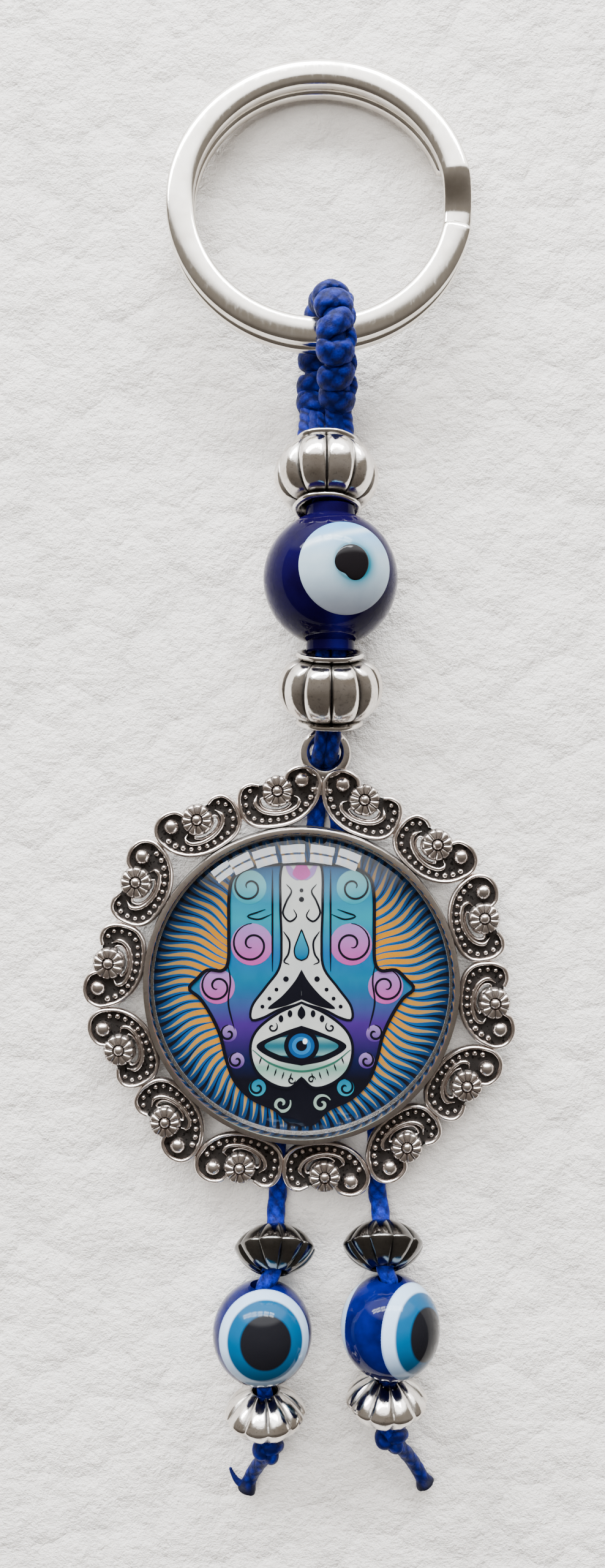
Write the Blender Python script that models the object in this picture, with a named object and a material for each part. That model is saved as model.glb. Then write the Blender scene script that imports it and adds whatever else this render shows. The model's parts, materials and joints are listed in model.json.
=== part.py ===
"""Evil eye key-chain ornament, lying flat on its back.

A split key ring, a knotted cord loop, two lobed metal beads either side of a large glass eye
bead, an openwork pendant with a picture under a glass dome, and two cord drops, each with a
fluted bicone, a small eye bead, a second bicone and a knot.

Frame: +Z up, +Y towards the key ring, origin on the surface it lies on, under the middle of
its box. Dimensions below are millimetres; MM turns them into metres.
"""
import math

import bmesh
import bpy
from mathutils import Matrix, Vector

MM = 0.001
GAP = 0.08                      # clearance round an inlay

# key ring: two flat coils of wire, one on the other
RING_PIVOT = (2.5, 39.95, 5.35)  # centre of the wire where the cord loop holds it
RING_SHIFT_X = -0.7             # ring centre relative to the loop
RING_MEAN_R = 13.8
RING_COIL_PITCH = 1.5
RING_TILT = 7.7                 # degrees, loop side raised
RING_START = 17.5               # degrees, where the lower coil starts
RING_JOG = 16.0                 # degrees the wire takes to climb to the upper coil
RING_STEPS = 72
RING_SECTION = [(-1.4, -0.4), (-1.05, -0.71), (1.05, -0.71), (1.4, -0.4),
                (1.4, 0.4), (1.05, 0.71), (-1.05, 0.71), (-1.4, 0.4)]

# lobed metal beads
LANTERN_HALF = 3.6
LANTERN_R = 5.1
LANTERN_RIM_R = 3.3
LANTERN_LOBES = 10
LANTERN_UPPER = ((2.4, 26.15, 5.2), -13.0)   # centre, rise of the +Y end in degrees
LANTERN_LOWER = ((2.85, 5.5, 5.12), 16.0)
STRAND_BORE_R = 2.1

# large glass eye bead
GLASS_CENTRE = (2.8, 15.95, 6.5)
GLASS_R = 6.5
WHITE_ANGLE = 42.5              # half-angle of the white disc
WHITE_AXIS = (0.249, 0.040, 0.968)
WHITE_DEPTH = 1.0
PUPIL_AXIS = (0.298, 0.091, 0.952)
PUPIL_DEPTH = 0.5
HALO_ANGLE = 19.8
PUPIL_ANGLE = 15.3

# small eye beads
EYE_R = 4.87
EYE_BORE_R = 1.2
EYE_DEPTH = 0.7                 # thickness of the coloured layers
EYE_BLACK = 30.2                # half-angles of the colours
EYE_TURQUOISE = 47.9
EYE_WHITE = 63.4

# fluted bicones
BICONE_R = 4.05
BICONE_HALF = 2.2
BICONE_END_R = 1.45
BICONE_FLUTES = 10
BICONE_BORE_R = 1.18

# pendant
PENDANT = (0.0, -23.75)
PENDANT_TURN = -5.9             # degrees, eyelet to the right of the centre line
BACK_Z = 2.0
FLOOR = 0.8
BEZEL_R = 15.65
BEZEL_WALL = 0.65
BEZEL_TOP = 4.8
BACK_RING_R = 8.0
BORDER_IN = 15.3
BORDER_OUT = 21.5
BORDER_VALLEY = 19.4
BORDER_BOTTOM = 2.1
BORDER_TOP = 3.5
SCROLLS = 14
SCROLL_PITCH = 360.0 / SCROLLS
BALL_AT = (20.3, 5.85)          # radius, degrees from the middle of a mirrored pair
FLOWER_AT = (19.35, 13.0)
EYELET_AT = 23.07
EYELET_R = 2.03
EYELET_WIRE_R = 0.58
EYELET_Z = 2.8
DISC_R = 14.8
DISC_THICK = 0.3
DOME_R = 14.75
DOME_EDGE = 1.1
DOME_TOP = 9.4

# cords
STRAND_CORD_R = 0.8
LEG_CORD_R = 0.8
LOOP_R = 1.5
LOOP_END_R = 1.12
EYELET_CORD_R = 0.85            # two strands squeezed through the eyelet

# routes of the cords, x, y, z
STRAND_ROUTE = [(2.82, 3.7, 4.62), (2.85, 5.5, 5.1), (2.85, 9.3, 6.15), (2.8, 12.5, 6.5),
                (2.8, 15.95, 6.5), (2.75, 19.6, 6.45), (2.6, 22.9, 6.0), (2.4, 26.15, 5.2),
                (2.4, 29.9, 4.2)]
LOOP_ROUTE = [(3.6, 30.3, 4.0), (3.55, 32.9, 4.7), (3.35, 35.0, 6.7), (3.2, 37.4, 8.5),
              (3.15, 39.9, 8.9), (2.95, 42.5, 7.9), (2.6, 43.6, 5.3), (2.05, 42.6, 2.7),
              (1.5, 40.0, 1.68), (1.35, 37.0, 1.72), (1.25, 34.6, 2.1), (1.2, 32.7, 2.85),
              (1.2, 30.3, 3.5)]
EYELET_ROUTE = [(2.4, -1.2, 2.15), (2.4, -1.05, 3.1), (2.45, -0.35, 4.0), (2.6, 0.9, 4.33),
                (2.7, 1.35, 4.3)]
LEG_ROUTES = {
    "left": [(1.5, -0.9, 0.86), (1.6, -5.0, 0.86), (0.9, -12.0, 0.86), (-1.2, -19.0, 0.86),
             (-2.5, -26.0, 0.86), (-2.8, -34.0, 0.86), (-2.5, -41.0, 0.86),
             (-2.4, -45.25, 0.86)],
    "right": [(3.3, -0.9, 0.86), (3.5, -5.0, 0.86), (4.4, -12.0, 0.86), (6.0, -19.0, 0.86),
              (7.1, -26.0, 0.86), (7.5, -34.0, 0.86), (7.6, -41.0, 0.86),
              (7.7, -45.25, 0.86)],
}

# drops: centre of each piece, rise of its +Y end in degrees where it is turned about X
DROPS = {
    "left": {
        "upper": ((-2.65, -50.15, 3.4), -38.0),
        "eye": ((-3.84, -57.65, 4.9), (0.108, 0.231, 0.967)),
        "lower": ((-3.6, -65.85, 4.1), 3.0),
        "cord": [(-2.55, -46.45, 1.15), (-2.6, -48.1, 1.85), (-2.65, -50.15, 3.4),
                 (-2.8, -51.8, 4.68), (-3.4, -52.7, 4.95), (-3.8, -53.8, 4.9),
                 (-3.84, -57.65, 4.9), (-3.84, -61.6, 4.9), (-3.7, -63.0, 4.5),
                 (-3.6, -64.3, 4.18), (-3.6, -65.85, 4.1), (-3.45, -68.25, 4.0)],
        "knot": ((-3.3, -69.85, 3.7), (1.55, 1.1, 1.35)),
        "tail": [(-3.75, -71.05, 3.0), (-4.5, -72.7, 1.8), (-5.1, -74.1, 1.0),
                 (-5.6, -75.5, 0.85)],
    },
    "right": {
        "upper": ((8.1, -49.75, 3.45), -36.0),
        "eye": ((8.7, -57.1, 4.9), (0.751, 0.132, 0.646)),
        "lower": ((8.4, -64.6, 4.1), 3.0),
        "cord": [(7.92, -46.45, 1.25), (8.0, -47.8, 2.05), (8.1, -49.75, 3.45),
                 (8.2, -51.4, 4.66), (8.55, -52.3, 4.95), (8.7, -53.4, 4.9),
                 (8.7, -57.1, 4.9), (8.7, -61.0, 4.9), (8.6, -61.9, 4.55),
                 (8.45, -63.0, 4.2), (8.4, -64.6, 4.1), (8.45, -67.1, 4.0)],
        "knot": ((8.95, -68.8, 3.6), (1.7, 1.15, 1.4)),
        "tail": [(9.75, -69.95, 2.9), (10.8, -71.6, 1.8), (11.75, -73.35, 1.0),
                 (12.6, -75.0, 0.85)],
    },
}
TAIL_R = 0.65

BEAD_SEGMENTS = 30
EYE_SEGMENTS = 20
CUP_SEGMENTS = 42

COLOURS = {
    "nickel": ((0.72, 0.70, 0.66), 1.0, 0.18),
    "silver": ((0.50, 0.48, 0.45), 1.0, 0.30),
    "gunmetal": ((0.30, 0.29, 0.28), 1.0, 0.28),
    "cord": ((0.01, 0.03, 0.42), 0.0, 0.55),
    "violet_glass": ((0.03, 0.01, 0.20), 0.0, 0.06),
    "cobalt": ((0.01, 0.03, 0.35), 0.0, 0.08),
    "white": ((0.75, 0.82, 0.90), 0.0, 0.12),
    "turquoise": ((0.00, 0.42, 0.62), 0.0, 0.12),
    "black": ((0.006, 0.006, 0.008), 0.0, 0.10),
    "print": ((0.10, 0.25, 0.50), 0.0, 0.45),
    "clear": ((0.90, 0.95, 0.97), 0.0, 0.03),
}


def clear_scene():
    for obj in list(bpy.data.objects):
        bpy.data.objects.remove(obj, do_unlink=True)


def make_material(name):
    colour, metallic, roughness = COLOURS[name]
    material = bpy.data.materials.new(name)
    material.use_nodes = True
    shader = material.node_tree.nodes["Principled BSDF"]
    shader.inputs["Base Color"].default_value = (*colour, 1.0)
    shader.inputs["Metallic"].default_value = metallic
    shader.inputs["Roughness"].default_value = roughness
    return material


def add_object(name, mesh, material, matrix=None):
    """Put a mesh, whose units are millimetres, in the scene in metres."""
    mesh.transform(Matrix.Scale(MM, 4))
    obj = bpy.data.objects.new(name, mesh)
    obj.data.materials.append(MATERIALS[material])
    obj.matrix_world = matrix or Matrix.Identity(4)
    bpy.context.scene.collection.objects.link(obj)
    return obj


def smooth(obj, angle=35.0):
    obj.data.shade_smooth()
    obj.data.set_sharp_from_angle(angle=math.radians(angle))


def mesh_from(bm, name):
    bmesh.ops.remove_doubles(bm, verts=bm.verts, dist=1e-5)
    bmesh.ops.recalc_face_normals(bm, faces=bm.faces)
    mesh = bpy.data.meshes.new(name)
    bm.to_mesh(mesh)
    bm.free()
    return mesh


def place(centre, rotation=None):
    """Matrix, in metres, for a piece whose centre is given in millimetres."""
    spot = Matrix.Translation(Vector(centre) * MM)
    return spot @ rotation.to_4x4() if rotation else spot


def along_strand(rise):
    """Rotation that lays local Z along +Y, with its +Y end raised by an angle."""
    return Matrix.Rotation(math.radians(rise - 90.0), 3, "X")


def eye_frame(axis):
    """Rotation with local Z on an eye's axis and local Y along the bead's hole."""
    z = Vector(axis).normalized()
    y = (Vector((0, 1, 0)) - z * z.y).normalized()
    return Matrix((y.cross(z), y, z)).transposed()


def revolve(profile, segments, shape=None):
    """Turn a closed profile of (radius, height) points about Z.

    shape(angle, radius, height) can return another radius, for lobes and flutes.
    """
    bm = bmesh.new()
    rings = []
    for step in range(segments):
        angle = 2.0 * math.pi * step / segments
        ring = []
        for radius, height in profile:
            r = shape(angle, radius, height) if shape else radius
            ring.append(bm.verts.new((r * math.cos(angle), r * math.sin(angle), height)))
        rings.append(ring)
    count = len(profile)
    for step in range(segments):
        here, there = rings[step], rings[(step + 1) % segments]
        for k in range(count):
            n = (k + 1) % count
            if profile[k][0] < 1e-6 and profile[n][0] < 1e-6:
                continue
            bm.faces.new((here[k], there[k], there[n], here[n]))
    return bm


def revolve_solid(name, profile, segments, shape=None):
    bm = revolve(profile, segments, shape)
    bmesh.ops.remove_doubles(bm, verts=bm.verts, dist=1e-4)
    bmesh.ops.dissolve_degenerate(bm, edges=bm.edges, dist=1e-5)
    return mesh_from(bm, name)


def smooth_route(points, spacing):
    """Evenly spaced points on a Catmull-Rom curve through a route's own points."""
    pts = [Vector(p) for p in points]
    pts = [pts[0] * 2 - pts[1]] + pts + [pts[-1] * 2 - pts[-2]]
    fine = []
    for a, b, c, d in zip(pts, pts[1:], pts[2:], pts[3:]):
        for k in range(12):
            t = k / 12.0
            fine.append(0.5 * (2 * b + (c - a) * t + (2 * a - 5 * b + 4 * c - d) * t ** 2
                               + (3 * b - a - 3 * c + d) * t ** 3))
    fine.append(pts[-2])
    lengths = [0.0]
    for a, b in zip(fine, fine[1:]):
        lengths.append(lengths[-1] + (b - a).length)
    count = max(4, round(lengths[-1] / spacing))
    out, k = [], 0
    for step in range(count + 1):
        target = lengths[-1] * step / count
        while k < len(fine) - 2 and lengths[k + 1] < target:
            k += 1
        share = (target - lengths[k]) / (lengths[k + 1] - lengths[k])
        out.append(fine[k].lerp(fine[k + 1], min(1.0, max(0.0, share))))
    return out


def cord(name, route, radius, spacing=3.0, end_radius=None, ends=1):
    """A round cord along a route; its ends can taper to another radius."""
    points = smooth_route(route, spacing)
    curve = bpy.data.curves.new(name, "CURVE")
    curve.dimensions = "3D"
    curve.bevel_depth = radius * MM
    curve.bevel_resolution = 2
    curve.use_fill_caps = True
    spline = curve.splines.new("POLY")
    spline.points.add(len(points) - 1)
    last = len(points) - 1
    for k, point in enumerate(points):
        spline.points[k].co = (*(point * MM), 1.0)
        if end_radius and min(k, last - k) <= ends:
            share = min(k, last - k) / (ends + 1)
            spline.points[k].radius = (end_radius + (radius - end_radius) * share) / radius
    obj = bpy.data.objects.new(name, curve)
    obj.data.materials.append(MATERIALS["cord"])
    bpy.context.scene.collection.objects.link(obj)
    return obj


def offset_route(route, dx):
    return [(x + dx, y, z) for x, y, z in route]


def cutter(name, mesh, matrix=None):
    obj = add_object(name, mesh, "black", matrix)
    obj.hide_render = True
    obj.display_type = "WIRE"
    return obj


def boolean(obj, other, operation, solver="EXACT"):
    modifier = obj.modifiers.new(operation.lower(), "BOOLEAN")
    modifier.object = other
    modifier.operation = operation
    modifier.solver = solver


def cylinder_mesh(name, radius, low, high, segments):
    profile = [(0.0, low), (radius, low), (radius, high), (0.0, high)]
    return revolve_solid(name, profile, segments)


def make_key_ring():
    """Two flat coils of wire: the lower one climbs to the upper one just before its start."""
    turns = 720.0 - RING_JOG - 12.0
    climb_from = 360.0 - RING_JOG - 4.0
    bm = bmesh.new()
    rings = []
    for step in range(RING_STEPS + 1):
        turned = turns * step / RING_STEPS
        share = min(1.0, max(0.0, (turned - climb_from) / RING_JOG))
        height = RING_COIL_PITCH * (share * share * (3 - 2 * share) - 0.5)
        angle = math.radians(RING_START + turned)
        ring = []
        for across, up in RING_SECTION:
            r = RING_MEAN_R + across
            spot = (r * math.cos(angle), r * math.sin(angle), height + up)
            ring.append(bm.verts.new(spot))
        rings.append(ring)
    bmesh.ops.contextual_create(bm, geom=rings[0])
    bmesh.ops.contextual_create(bm, geom=rings[-1])
    count = len(RING_SECTION)
    for here, there in zip(rings, rings[1:]):
        for k in range(count):
            n = (k + 1) % count
            bm.faces.new((here[k], there[k], there[n], here[n]))
    bmesh.ops.translate(bm, verts=bm.verts, vec=(RING_SHIFT_X, RING_MEAN_R, 0.0))
    rotation = Matrix.Rotation(math.radians(-RING_TILT), 3, "X")
    ring = add_object("key_ring", mesh_from(bm, "key_ring"), "nickel",
                      place(RING_PIVOT, rotation))
    smooth(ring)


def lantern_profile():
    """Outer side from the top rim to the bottom rim, then back up the bore."""
    steps = 7
    rim, top = 0.55, LANTERN_HALF
    profile = [(LANTERN_RIM_R, top), (LANTERN_RIM_R, top - rim)]
    reach = top - rim - 0.1
    for k in range(steps + 1):
        height = reach * math.cos(math.pi * k / steps)
        bulge = math.sin(math.pi * k / steps) ** 0.75
        profile.append((2.95 + (LANTERN_R - 2.95) * bulge, height))
    profile += [(LANTERN_RIM_R, rim - top), (LANTERN_RIM_R, -top)]
    profile += [(STRAND_BORE_R, -top), (STRAND_BORE_R, top)]
    return profile


def lobe(angle, radius, height):
    if radius < LANTERN_RIM_R + 0.05:
        return radius
    return radius * (1.0 - 0.07 * abs(math.cos(LANTERN_LOBES * angle / 2)) ** 3)


def make_lantern(name, centre, rise):
    mesh = revolve_solid(name, lantern_profile(), BEAD_SEGMENTS, lobe)
    obj = add_object(name, mesh, "silver", place(centre, along_strand(rise)))
    smooth(obj, 40.0)


def arc(radius, start, end, steps):
    """Profile points on a sphere between two angles from its pole, in degrees."""
    points = []
    for k in range(steps + 1):
        angle = math.radians(start + (end - start) * k / steps)
        points.append((radius * math.sin(angle), radius * math.cos(angle)))
    return points


def shell_ring(name, radius, depth, start, end, steps=2):
    """A disc or ring cut from a spherical shell, between two angles from its pole."""
    start = start + math.degrees(GAP / radius) if start else 0.0
    profile = arc(radius, start, end, steps)
    profile += reversed(arc(radius - depth, start, end, steps))
    return revolve_solid(name, profile, EYE_SEGMENTS)


def drill(obj, centre, radius, length):
    """Cut a bead's hole, which runs along Y."""
    name = obj.name + "_bore"
    bore = cutter(name, cylinder_mesh(name, radius, -length, length, 16),
                  place(centre, along_strand(0.0)))
    boolean(obj, bore, "DIFFERENCE")


def make_large_eye():
    """Glass bead with a white disc let into it, and a halo and pupil let into the white."""
    frame = place(GLASS_CENTRE, eye_frame(WHITE_AXIS))
    pupil_frame = place(GLASS_CENTRE, eye_frame(PUPIL_AXIS))
    profile = arc(GLASS_R - WHITE_DEPTH - GAP, 0.0, WHITE_ANGLE, 4)
    profile += arc(GLASS_R, WHITE_ANGLE, 180.0, 10)
    glass = add_object("large_eye_glass",
                       revolve_solid("large_eye_glass", profile, EYE_SEGMENTS),
                       "violet_glass", frame)
    drill(glass, GLASS_CENTRE, STRAND_BORE_R, GLASS_R)
    smooth(glass)
    edge = WHITE_ANGLE - math.degrees(GAP / GLASS_R)
    white = add_object("large_eye_white",
                       shell_ring("large_eye_white", GLASS_R, WHITE_DEPTH, 0.0, edge, 4),
                       "white", frame)
    pocket = shell_ring("pupil_pocket", GLASS_R + 1.0, PUPIL_DEPTH + 1.0 + GAP, 0.0,
                        HALO_ANGLE + 0.7)
    boolean(white, cutter("pupil_pocket", pocket, pupil_frame), "DIFFERENCE")
    smooth(white)
    for name, start, end, colour in (("large_eye_halo", PUPIL_ANGLE, HALO_ANGLE, "turquoise"),
                                     ("large_eye_pupil", 0.0, PUPIL_ANGLE, "black")):
        mesh = shell_ring(name, GLASS_R, PUPIL_DEPTH, start, end, 1)
        smooth(add_object(name, mesh, colour, pupil_frame))


def make_small_eye(side, centre, axis):
    """Bead with a black, turquoise and white eye let into its front and into its back."""
    frame = eye_frame(axis)
    floor = EYE_R - EYE_DEPTH - GAP
    profile = arc(floor, 0.0, EYE_WHITE, 3) + arc(EYE_R, EYE_WHITE, 180.0 - EYE_WHITE, 4)
    profile += arc(floor, 180.0 - EYE_WHITE, 180.0, 3)
    name = "eye_bead_" + side
    body = add_object(name, revolve_solid(name, profile, EYE_SEGMENTS), "cobalt",
                      place(centre, frame))
    drill(body, centre, EYE_BORE_R, EYE_R)
    smooth(body)
    turned = Matrix.Rotation(math.pi, 3, "Y")
    edge_gap = math.degrees(GAP / EYE_R)
    for face, rotation in (("front", frame), ("back", frame @ turned)):
        start = 0.0
        for colour, end in (("black", EYE_BLACK), ("turquoise", EYE_TURQUOISE),
                            ("white", EYE_WHITE)):
            piece = "_".join((name, face, colour))
            last = end - edge_gap if colour == "white" else end
            mesh = shell_ring(piece, EYE_R, EYE_DEPTH, start, last)
            smooth(add_object(piece, mesh, colour, place(centre, rotation)))
            start = end


def bicone_profile():
    profile = [(BICONE_END_R, BICONE_HALF), (2.75, 1.55), (3.65, 0.6), (BICONE_R, 0.14)]
    profile += [(r, -z) for r, z in reversed(profile)]
    profile += [(BICONE_BORE_R, -BICONE_HALF), (BICONE_BORE_R, BICONE_HALF)]
    return profile


def flute(angle, radius, height):
    if radius < BICONE_END_R + 0.1 or radius > BICONE_R - 0.05:
        return radius
    return radius * (1.0 - 0.09 * abs(math.cos(BICONE_FLUTES * angle / 2)) ** 2)


def make_bicone(name, centre, rise, material):
    mesh = revolve_solid(name, bicone_profile(), BEAD_SEGMENTS, flute)
    obj = add_object(name, mesh, material, place(centre, along_strand(rise)))
    smooth(obj, 40.0)


def polar(radius, degrees):
    """A point round the pendant, the angle counted from its eyelet."""
    angle = math.radians(90.0 + degrees)
    return radius * math.cos(angle), radius * math.sin(angle)


def prism(bm, outline, low, high):
    """Close a flat outline into a prism inside a bmesh."""
    bottom = [bm.verts.new((x, y, low)) for x, y in outline]
    top = [bm.verts.new((x, y, high)) for x, y in outline]
    bm.faces.new(list(reversed(bottom)))
    bm.faces.new(top)
    count = len(outline)
    for k in range(count):
        n = (k + 1) % count
        bm.faces.new((bottom[k], bottom[n], top[n], top[k]))


def border_mesh():
    """Flat scalloped plate of the openwork border, a ring round the cup."""
    bm = bmesh.new()
    steps = SCROLLS * 6
    rings = []
    for step in range(steps):
        degrees = 360.0 * step / steps
        dip = abs(math.cos(math.radians(degrees * SCROLLS / 2))) ** 3
        outer = BORDER_OUT - (BORDER_OUT - BORDER_VALLEY) * dip
        ring = []
        for radius, z in ((BORDER_IN, BORDER_BOTTOM), (outer, BORDER_BOTTOM),
                          (outer, BORDER_TOP), (BORDER_IN, BORDER_TOP)):
            ring.append(bm.verts.new((*polar(radius, degrees), z)))
        rings.append(ring)
    for step in range(steps):
        here, there = rings[step], rings[(step + 1) % steps]
        for k in range(4):
            n = (k + 1) % 4
            bm.faces.new((here[k], there[k], there[n], here[n]))
    return mesh_from(bm, "border")


def windows_mesh():
    """Openings of the border: a three-cornered one between scrolls, a crescent in each."""
    bm = bmesh.new()
    low, high = BORDER_BOTTOM - 1.0, BORDER_TOP + 1.0
    for scroll in range(SCROLLS):
        joint = scroll * SCROLL_PITCH
        corners = [polar(16.1, joint - 4.3), polar(18.2, joint), polar(16.1, joint + 4.3)]
        prism(bm, corners, low, high)
        middle = joint + SCROLL_PITCH / 2
        inner = [polar(16.75 + 0.45 * t * t, middle + 5.2 * t) for t in (-1, -0.4, 0.4, 1)]
        outer = [polar(17.45 + 0.1 * t * t, middle + 4.2 * t) for t in (1, 0, -1)]
        prism(bm, inner + outer, low, high)
    return mesh_from(bm, "windows")


def trim_mesh():
    """Ball and flower of each scroll, in mirrored pairs, and the eyelet's neck."""
    bm = bmesh.new()
    for pair in range(SCROLLS // 2):
        for side in (-1, 1):
            middle = pair * 2 * SCROLL_PITCH
            x, y = polar(BALL_AT[0], middle + side * BALL_AT[1])
            bmesh.ops.create_cone(
                bm, cap_ends=True, segments=7, radius1=0.9, radius2=0.5, depth=1.5,
                matrix=Matrix.Translation((x, y, BORDER_TOP + 0.1)))
            x, y = polar(FLOWER_AT[0], middle + side * FLOWER_AT[1])
            bmesh.ops.create_cone(
                bm, cap_ends=True, segments=8, radius1=1.6, radius2=1.25, depth=1.2,
                matrix=Matrix.Translation((x, y, BORDER_TOP + 0.05)))
    neck = [(-0.95, 18.7), (0.95, 18.7), (0.85, 21.4), (-0.85, 21.4)]
    prism(bm, neck, EYELET_Z - 0.4, EYELET_Z + 0.4)
    return mesh_from(bm, "trim")


def make_pendant_tray():
    """Casting: a cup for the picture and the glass, its openwork border and its eyelet."""
    turn = Matrix.Rotation(math.radians(PENDANT_TURN), 3, "Z")
    frame = place((*PENDANT, 0.0), turn)
    inner = BEZEL_R - BEZEL_WALL
    profile = [(0.0, BACK_Z), (0.0, BACK_Z + FLOOR), (inner, BACK_Z + FLOOR),
               (inner, BEZEL_TOP), (BEZEL_R, BEZEL_TOP), (BEZEL_R, BACK_Z),
               (BACK_RING_R, BACK_Z)]
    tray = add_object("pendant_tray", revolve_solid("pendant_tray", profile, CUP_SEGMENTS),
                      "silver", frame)
    border = cutter("border", border_mesh(), frame)
    boolean(border, cutter("windows", windows_mesh(), frame), "DIFFERENCE")
    boolean(border, cutter("trim", trim_mesh(), frame), "UNION", "MANIFOLD")
    boolean(tray, border, "UNION")
    wire = [(EYELET_R + EYELET_WIRE_R * math.cos(a), EYELET_WIRE_R * math.sin(a))
            for a in (2 * math.pi * k / 8 for k in range(8))]
    eyelet = cutter("eyelet", revolve_solid("eyelet", wire, 24),
                    frame @ place((0.0, EYELET_AT, EYELET_Z)))
    boolean(tray, eyelet, "UNION", "MANIFOLD")
    smooth(tray)


def make_picture_and_glass():
    base = BACK_Z + FLOOR
    disc = cylinder_mesh("picture_disc", DISC_R, base + GAP, base + DISC_THICK, CUP_SEGMENTS)
    add_object("picture_disc", disc, "print", place((*PENDANT, 0.0)))
    low = base + DISC_THICK + GAP
    edge = low + DOME_EDGE
    rise = DOME_TOP - edge
    ball = (DOME_R ** 2 + rise ** 2) / (2 * rise)
    span = math.degrees(math.asin(DOME_R / ball))
    profile = [(0.0, low), (DOME_R - 0.2, low), (DOME_R, low + 0.25)]
    profile += [(r, z + DOME_TOP - ball) for r, z in reversed(arc(ball, 0.0, span, 6))]
    dome = add_object("glass_cabochon",
                      revolve_solid("glass_cabochon", profile, CUP_SEGMENTS), "clear",
                      place((*PENDANT, 0.0)))
    smooth(dome)


def make_knot(side, centre, radii):
    bm = bmesh.new()
    bmesh.ops.create_icosphere(bm, subdivisions=2, radius=1.0,
                               matrix=Matrix.Diagonal((*radii, 1.0)))
    knot = add_object("knot_" + side, mesh_from(bm, "knot_" + side), "cord", place(centre))
    smooth(knot, 60.0)


def make_drop(side):
    spec = DROPS[side]
    make_bicone("upper_bicone_" + side, *spec["upper"], "gunmetal")
    make_small_eye(side, *spec["eye"])
    make_bicone("lower_bicone_" + side, *spec["lower"], "silver")
    cord("leg_cord_" + side, LEG_ROUTES[side], LEG_CORD_R, 3.2)
    cord("drop_cord_" + side, spec["cord"], LEG_CORD_R, 1.6)
    make_knot(side, *spec["knot"])
    cord("tail_" + side, spec["tail"], TAIL_R, 1.3)


def make_strand():
    for side, dx in (("left", -0.88), ("right", 0.88)):
        cord("strand_cord_" + side, offset_route(STRAND_ROUTE, dx), STRAND_CORD_R, 1.8)
    cord("knotted_loop", LOOP_ROUTE, LOOP_R, 1.5, LOOP_END_R, 2)
    cord("eyelet_cord", EYELET_ROUTE, EYELET_CORD_R, 0.8)
    make_lantern("lantern_bead_upper", *LANTERN_UPPER)
    make_lantern("lantern_bead_lower", *LANTERN_LOWER)


clear_scene()
MATERIALS = {name: make_material(name) for name in COLOURS}
make_key_ring()
make_strand()
make_large_eye()
make_pendant_tray()
make_picture_and_glass()
for drop_side in DROPS:
    make_drop(drop_side)
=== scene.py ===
# Looks of the evil eye key-chain ornament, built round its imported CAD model.
import json
import math
import random

import bpy
import numpy as np
from mathutils import Matrix, Vector, geometry


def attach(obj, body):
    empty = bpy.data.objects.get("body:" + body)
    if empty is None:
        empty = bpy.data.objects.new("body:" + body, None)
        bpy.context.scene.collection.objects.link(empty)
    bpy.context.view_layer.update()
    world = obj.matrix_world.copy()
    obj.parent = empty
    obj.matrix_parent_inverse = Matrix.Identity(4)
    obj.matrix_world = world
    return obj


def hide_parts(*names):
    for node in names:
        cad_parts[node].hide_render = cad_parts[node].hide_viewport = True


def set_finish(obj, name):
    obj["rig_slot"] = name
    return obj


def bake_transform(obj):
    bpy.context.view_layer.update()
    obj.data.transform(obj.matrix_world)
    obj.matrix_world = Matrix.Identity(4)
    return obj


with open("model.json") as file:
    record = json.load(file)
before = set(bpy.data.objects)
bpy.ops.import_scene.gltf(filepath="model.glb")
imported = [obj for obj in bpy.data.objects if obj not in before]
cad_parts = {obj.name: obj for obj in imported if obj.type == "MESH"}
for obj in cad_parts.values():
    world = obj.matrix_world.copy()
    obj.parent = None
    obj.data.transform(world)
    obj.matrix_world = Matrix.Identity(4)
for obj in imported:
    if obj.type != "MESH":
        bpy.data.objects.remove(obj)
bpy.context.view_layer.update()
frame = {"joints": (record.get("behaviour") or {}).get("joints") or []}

# Sizes and places are millimetres in the CAD model's frame; MM turns them into metres.
MM = 0.001
UP = (0.0, 0.0, 1.0)
JOINTS = {joint["name"]: joint for joint in frame["joints"]}

# key ring
RING_SHIFT_X = -0.7
RING_MEAN_R = 13.8
RING_HALF_WIDTH = 1.4
RING_HALF_COIL = 0.71
RING_COIL_PITCH = 1.5
RING_TILT = 7.7
RING_START = 17.5
RING_JOG = 16.0

# lobed beads
LANTERN_HALF = 3.6
LANTERN_R = 5.1
LANTERN_RIM_R = 3.3
LANTERN_NECK_R = 2.75
LANTERN_MOUTH_R = 2.75
LANTERN_LOBES = 10
STRAND_BORE_R = 2.1

# eye beads
GLASS_R = 6.5
GLASS_HALF = 7.05
GLASS_NECK_R = 2.35
WHITE_AXIS = (0.249, 0.040, 0.968)
PUPIL_AXIS = (0.298, 0.091, 0.952)
WHITE_ANGLE = 42.5
EYE_R = 4.87
EYE_AXES = {"left": (0.108, 0.231, 0.967), "right": (0.751, 0.132, 0.646)}
EYE_BLACK = 30.2
EYE_TURQUOISE = 47.9
EYE_WHITE = 63.4

# bicones
BICONE_R = 4.05
BICONE_HALF = 2.2
BICONE_END_R = 1.45
BICONE_FLUTES = 10
BICONE_BORE_R = 1.18

# pendant
PENDANT = (0.0, -23.75)
PENDANT_TURN = -5.9
BACK_Z = 2.0
CUP_FLOOR = 2.8
BEZEL_R = 15.65
BEZEL_TOP = 4.8
PLATE_LOW = 2.1
PLATE_TOP = 3.0
PAIRS = 7
EYELET_AT = 23.07
EYELET_R = 2.03
EYELET_WIRE_R = 0.58
EYELET_Z = 2.8
DISC_R = 14.8
DISC_TOP = 3.1
DOME_R = 14.75
DOME_LOW = 3.18
DOME_TOP = 9.4

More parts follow.
